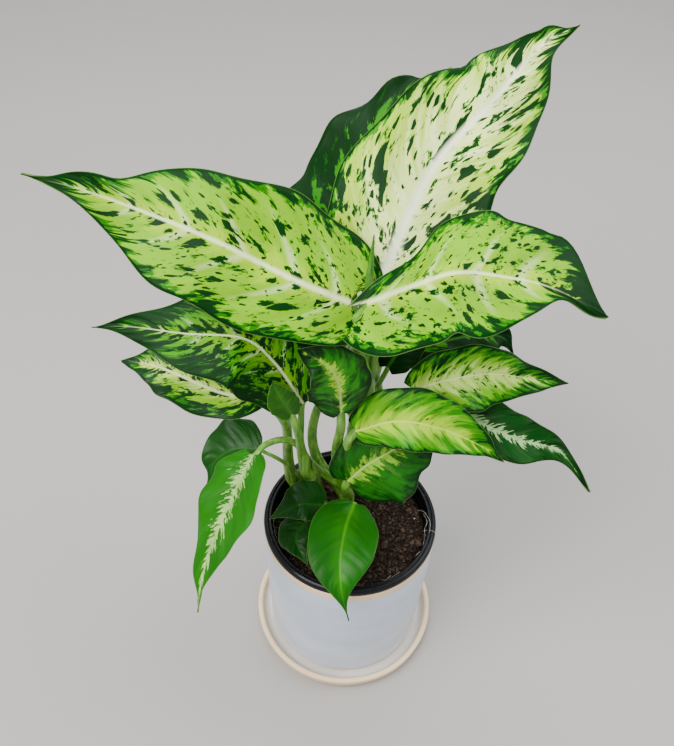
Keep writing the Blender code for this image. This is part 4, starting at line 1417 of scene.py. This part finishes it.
SCATTERED = {
    # name: (where, per square metre, least mm, most mm, flat, long, craggy, round, seed, skin)
    "fine_crumbs": (everywhere, 260000, 0.45, 1.6, 0.75, 1.3, 0.16, 1, 3, crumb_skin),
    "crumbs": (everywhere, 60000, 1.0, 3.8, 0.7, 1.3, 0.18, 1, 5, crumb_skin),
    "bark": (everywhere, 9000, 1.6, 6.5, 0.35, 1.6, 0.2, 2, 9, bark_skin),
    "perlite": (everywhere, 500, 0.4, 1.3, 0.6, 1.4, 0.3, 2, 12, perlite_skin),
    "perlite_at_rim": (front_right, 6500, 0.4, 2.2, 0.6, 1.4, 0.3, 2, 21, perlite_skin),
}
for name, (where, per, least, most, flat, long, craggy, around, seed, skin) in SCATTERED.items():
    piece = grown(
        name,
        ground("ground", where),
        scatter,
        **{
            "Per square metre": float(per), "Smallest": least * MM, "Largest": most * MM,
            "Flatness": flat, "Length": long, "Craggy": craggy, "Roundness": around,
            "Seed": seed, "Skin": skin,
        },
    )
    settle(piece, "potting_soil")
    print(name, len(piece.data.polygons), "faces")

# %% [markdown]
# ## Fine roots
# White feeding roots have grown over the rim of the inner pot. They could be left as curves with
# a bevel, but they're thin threads along a line, just what the canes' sweep already makes. Here
# its rings are small and close, like the knots of a root.

# %% Fine roots
ROOTS = (
    (
        (52, 14, 131), (56, 10, 137), (58.5, 4, 141), (61, -4, 142.4), (60, -12, 141),
        (57.5, -17, 136),
    ),
    ((57, 8, 136), (59, -2, 140), (57, -8, 138), (58, -15, 134), (56, -21, 131)),
    ((56, -6, 133), (59, -9, 139), (63, -12, 142.5), (67.5, -15, 140)),
    ((50, -27, 131), (54, -24, 136), (56.5, -16, 138), (56, -8, 134)),
    ((38, -41, 131), (33, -46, 133), (27, -49.5, 132.2), (21, -51, 131)),
    ((31, -45, 132), (27, -50, 134), (23, -48, 131.5)),
    ((-55, -14, 132), (-58, -9, 138), (-57, 2, 140), (-56, 9, 134)),
    ((-50, -26, 131), (-55, -20, 137), (-57, -12, 136), (-54, -7, 131)),
)
ROOT_STOPS = 24
threads = [
    [through(points_mm(root), k / ROOT_STOPS) for k in range(ROOT_STOPS + 1)] for root in ROOTS
]
piece = grown(
    "fine_roots",
    line_mesh("line", threads),
    sweep,
    **{
        "Radius": 0.16 * MM, "Taper": 0.5, "Ring spacing": 4 * MM, "Ring bulge": 0.3,
        "Step": 0.6 * MM, "Sides": 7, "Skin": root_skin,
    },
)
settle(piece, "potting_soil")
print(len(ROOTS), "roots,", len(piece.data.polygons), "faces")

# %% [markdown]
# ## Turned pots
# Both pots and the saucer were turned or moulded round an axis. A Screw modifier could turn their
# profiles. Points worked out in a loop also let the wall waver a little, as a hand-thrown one
# does. A bare profile would leave hard corners where clay and plastic have soft ones, so each
# corner carries the radius it was rounded to.


# %% Lathe
LATHE_STEPS = 160
ROUNDING_STEPS = 5
WAVER_HEIGHT = 30


def rounded(profile):
    """Profile corners as (radius, height, rounding), all in millimetres, made into a line."""
    line = []
    for index, (r, z, rounding) in enumerate(profile):
        corner = Vector((r, z))
        if rounding == 0 or index in (0, len(profile) - 1):
            line.append(corner)
            continue
        before = Vector(profile[index - 1][:2]) - corner
        after = Vector(profile[index + 1][:2]) - corner
        cut = min(rounding, before.length * 0.49, after.length * 0.49)
        start, end = corner + before.normalized() * cut, corner + after.normalized() * cut
        for k in range(ROUNDING_STEPS + 1):
            t = k / ROUNDING_STEPS
            line.append(start * (1 - t) ** 2 + corner * (2 * t * (1 - t)) + end * t * t)
    return line


def lathe(name, profile, material, wobble=0.0):
    """Turns a profile that starts and ends on the axis. wobble makes it a little uneven."""
    line = rounded(profile)
    inner = line[1:-1]
    points = [Vector((0, 0, line[0].y)) * MM, Vector((0, 0, line[-1].y)) * MM]
    for r, z in inner:
        for step in range(LATHE_STEPS):
            turn = math.tau * step / LATHE_STEPS
            around = Vector((2 * math.cos(turn), 2 * math.sin(turn), z / WAVER_HEIGHT))
            reach = r + wobble * noise.noise(around)
            points.append(Vector((reach * math.cos(turn), reach * math.sin(turn), z)) * MM)
    faces = []
    last = 2 + (len(inner) - 1) * LATHE_STEPS
    for step in range(LATHE_STEPS):
        after = (step + 1) % LATHE_STEPS
        faces.append((0, 2 + after, 2 + step))
        faces.append((1, last + step, last + after))
        for ring in range(len(inner) - 1):
            near, far = 2 + ring * LATHE_STEPS, 2 + (ring + 1) * LATHE_STEPS
            faces.append((near + step, near + after, far + after, far + step))
    return add_piece(name, points, faces, [material])


print("lathe ready,", LATHE_STEPS, "steps around")

# %% [markdown]
# ## Stoneware: glaze over bare clay
# Pot and saucer are one clay body, dipped in a pale blue-grey glaze. The rims are wiped bare, so
# the clay shows as a cream band, and where the glaze ends it breaks thin and tan with small iron
# specks. Each pot could have two materials with a hard border, but real glaze ends in a wavy,
# melted line. So one group makes clay and glaze from a mask, and each material says where it's
# glazed.

# %% Stoneware
SANDY, PALE_CLAY = (0.60, 0.45, 0.31, 1), (0.86, 0.71, 0.48, 1)
TAN_BREAK, IRON_SPECK = (0.62, 0.46, 0.32, 1), (0.10, 0.065, 0.045, 1)
ceramic, n, given, result = new_group(
    "stoneware",
    (
        ("Glazed", FLOAT, 1.0),
        ("Glaze", COLOUR, (0.50, 0.56, 0.66, 1)),
        ("Clay", COLOUR, (0.84, 0.62, 0.37, 1)),
    ),
    (("Colour", COLOUR), ("Roughness", FLOAT), ("Coat", FLOAT), ("Height", FLOAT)),
)
place = n.add("ShaderNodeTexCoord", out="Object")
sand = n.noise(place, 900.0, 3.0, 0.6)
cloud = n.noise(n.scale(place, (22.0, 22.0, 45.0)), 1.0, 3.0)
pits = n.noise(place, 1500.0, 1.0)
wet = n.rise(given["Glazed"], 0.48, 0.56)
edge = n.math("SUBTRACT", n.rise(given["Glazed"], 0.30, 0.5), n.rise(given["Glazed"], 0.55, 0.72))
clay = n.mix(n.rise(sand, 0.35, 0.7, 0.0, 0.6), given["Clay"], SANDY)
clay = n.mix(n.rise(cloud, 0.3, 0.7, 0.0, 0.5), clay, PALE_CLAY)
tone = n.rise(cloud, 0.3, 0.7, 0.94, 1.05)
glaze = n.scale(given["Glaze"], n.join(tone, tone, tone))
colour = n.mix(wet, clay, glaze)
colour = n.mix(n.times(edge, 0.55), colour, TAN_BREAK)
speck = n.rise(n.noise(place, 620.0, 2.0), 0.66, 0.72)
speck = n.times(speck, n.math("ADD", 0.06, n.times(edge, 0.9)))
n.plug(result["Colour"], n.mix(speck, colour, IRON_SPECK))
dry, uneven = n.rise(wet, 0.0, 1.0, 0.8, 0.34), n.rise(pits, 0.3, 0.7, -0.03, 0.03)
n.plug(result["Roughness"], n.math("ADD", dry, uneven))
n.plug(result["Coat"], n.times(wet, 0.5))
grit = n.times(sand, n.rise(wet, 0.0, 1.0, 1.0, 0.12))
n.plug(result["Height"], n.math("ADD", grit, n.times(wet, 1.2)))


GLAZE_DRIFT = 2.4 * MM


def stoneware_material(name, glaze, glazed_mask):
    """Clay and glaze; glazed_mask(nodes, radius, height) gives 0 for bare, 1 for glazed."""
    made, nodes, shader = new_material(name, (0.8, 0.8, 0.8, 1))
    x, y, z = nodes.split(nodes.add("ShaderNodeTexCoord", out="Object"))
    radius = nodes.math("SQRT", nodes.math("ADD", nodes.times(x, x), nodes.times(y, y)))
    drift = nodes.noise(nodes.add("ShaderNodeTexCoord", out="Object"), 70.0, 3.0)
    drift = nodes.about_middle(drift, GLAZE_DRIFT)
    group = made.node_tree.nodes.new("ShaderNodeGroup")
    group.node_tree = ceramic
    group.inputs["Glaze"].default_value = glaze
    height = nodes.math("ADD", z, drift)
    nodes.plug(group.inputs["Glazed"], glazed_mask(nodes, nodes.math("ADD", radius, drift), height))
    nodes.plug(shader.inputs["Base Color"], group.outputs["Colour"])
    nodes.plug(shader.inputs["Roughness"], group.outputs["Roughness"])
    nodes.plug(shader.inputs["Coat Weight"], group.outputs["Coat"])
    shader.inputs["Coat Roughness"].default_value = 0.22
    emboss(nodes, shader, group.outputs["Height"], 0.5, 0.0003)
    return made


def pot_glazed(nodes, radius, height):
    """The cover pot is bare at its rim and on its foot ring."""
    below_rim = nodes.rise(height, 128.0 * MM, 132.0 * MM, 1.0, 0.0)
    above_foot = nodes.rise(height, 7.0 * MM, 9.5 * MM)
    return nodes.times(below_rim, above_foot)


def saucer_glazed(nodes, radius, height):
    """The saucer is glazed on its floor only."""
    inside = nodes.rise(radius, 68.4 * MM, 70.6 * MM, 1.0, 0.0)
    above = nodes.rise(height, 3.0 * MM, 5.0 * MM)
    return nodes.times(inside, above)


pot_skin = stoneware_material("cover_pot_glaze", (0.55, 0.62, 0.72, 1), pot_glazed)
saucer_skin = stoneware_material("saucer_glaze", (0.58, 0.545, 0.50, 1), saucer_glazed)
print("stoneware group:", len(ceramic.nodes), "nodes")

# %% Cover pot and saucer
# Profiles, from the axis under the base to the axis over it: (radius, height, rounding) in mm.
SAUCER = (
    (0, 0, 0), (66, 0, 1), (69.5, 0, 1.5), (73.4, 3, 3), (75, 11.5, 2), (74.2, 13, 1.4),
    (71.6, 13, 1.4), (70.4, 11.6, 1.6), (69.2, 7.4, 2.5), (66, 6, 2.5), (0, 6, 0),
)
COVER_POT = (
    (0, 7.4, 0), (56.5, 7.4, 0.8), (57.2, 6.3, 0.6), (59.8, 6.3, 0.8), (61.6, 7.9, 2),
    (62.6, 14.3, 8), (65.4, 96, 20), (66, 134.8, 0.9), (65.2, 136, 0.9), (61.8, 136, 0.9),
    (61, 135.2, 0.8), (57, 17.3, 4), (53, 13.3, 4), (0, 13.3, 0),
)
saucer = lathe("saucer", SAUCER, saucer_skin, wobble=0.25)
settle(saucer, "stoneware", "saucer")
cover = lathe("cover_pot", COVER_POT, pot_skin, wobble=0.2)
settle(cover, "stoneware", "cover_pot")
print("saucer", len(saucer.data.polygons), "faces, cover pot", len(cover.data.polygons))

# %% [markdown]
# ## The inner pot
# The grower's pot is thin black plastic. Its lip is rolled: a fat outer bead, a groove, and a
# smaller bead where it turns down into the wall. The surface is satin with a faint moulding
# grain and pale dust in places. The same lathe makes it, as one skin. Drain holes could be cut
# with a Boolean, but its floor is hidden between the soil and the cover pot, so it stays closed.

# %% Inner pot
plastic, nodes, shader = new_material("nursery_plastic_skin", (0.03, 0.03, 0.035, 1))
place = nodes.add("ShaderNodeTexCoord", out="Object")
dust = nodes.noise(place, 55.0, 5.0, 0.65)
grain = nodes.noise(place, 2600.0, 2.0)
scuffs = nodes.noise(nodes.scale(place, (60.0, 60.0, 700.0)), 1.0, 3.0, 0.6)
BLACK, DUSTY = (0.003, 0.0035, 0.005, 1), (0.022, 0.020, 0.020, 1)
SCUFFED = (0.10, 0.10, 0.11, 1)
colour = nodes.mix(nodes.rise(dust, 0.5, 0.75, 0.0, 0.35), BLACK, DUSTY)
colour = nodes.mix(nodes.rise(scuffs, 0.66, 0.74, 0.0, 0.3), colour, SCUFFED)
nodes.plug(shader.inputs["Base Color"], colour)
nodes.plug(shader.inputs["Roughness"], nodes.rise(dust, 0.35, 0.7, 0.22, 0.42))
emboss(nodes, shader, grain, 0.35, 0.0001)
shader.inputs["Specular IOR Level"].default_value = 0.22

NURSERY_POT = (
    (0, 17.3, 0), (45.5, 17.3, 1.2), (47, 18.8, 1.2), (60.2, 133, 1), (60.2, 136.3, 0.2),
    (64.4, 136.3, 0.5), (66, 136.9, 0.5), (66, 139.2, 1.2), (65.2, 140.9, 1.4),
    (63.6, 141.8, 1.2), (62.6, 141.5, 0.7), (62.0, 140.7, 0.5), (61.3, 140.9, 0.5),
    (60.4, 141.0, 0.7), (59.6, 139.6, 1.2), (58.9, 136.5, 2), (58.9, 134.4, 0.4),
    (58.4, 133.9, 0.4), (58.4, 133.2, 0.4), (45.6, 19.7, 1.5), (44.4, 18.7, 1), (0, 18.7, 0),
)
nursery = lathe("nursery_pot", NURSERY_POT, plastic)
settle(nursery, "nursery_plastic", "nursery_pot")
print("inner pot", len(nursery.data.polygons), "faces")

# %% [markdown]
# ## Does it still fit its frame?
# The finished plant must fill the same box as the plain solids did.

visual_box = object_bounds()
for corner, seen, planned in zip(("low", "high"), visual_box, cad_box):
    print(corner, "corner off by", [round((a - b) / MM, 1) for a, b in zip(seen, planned)], "mm")
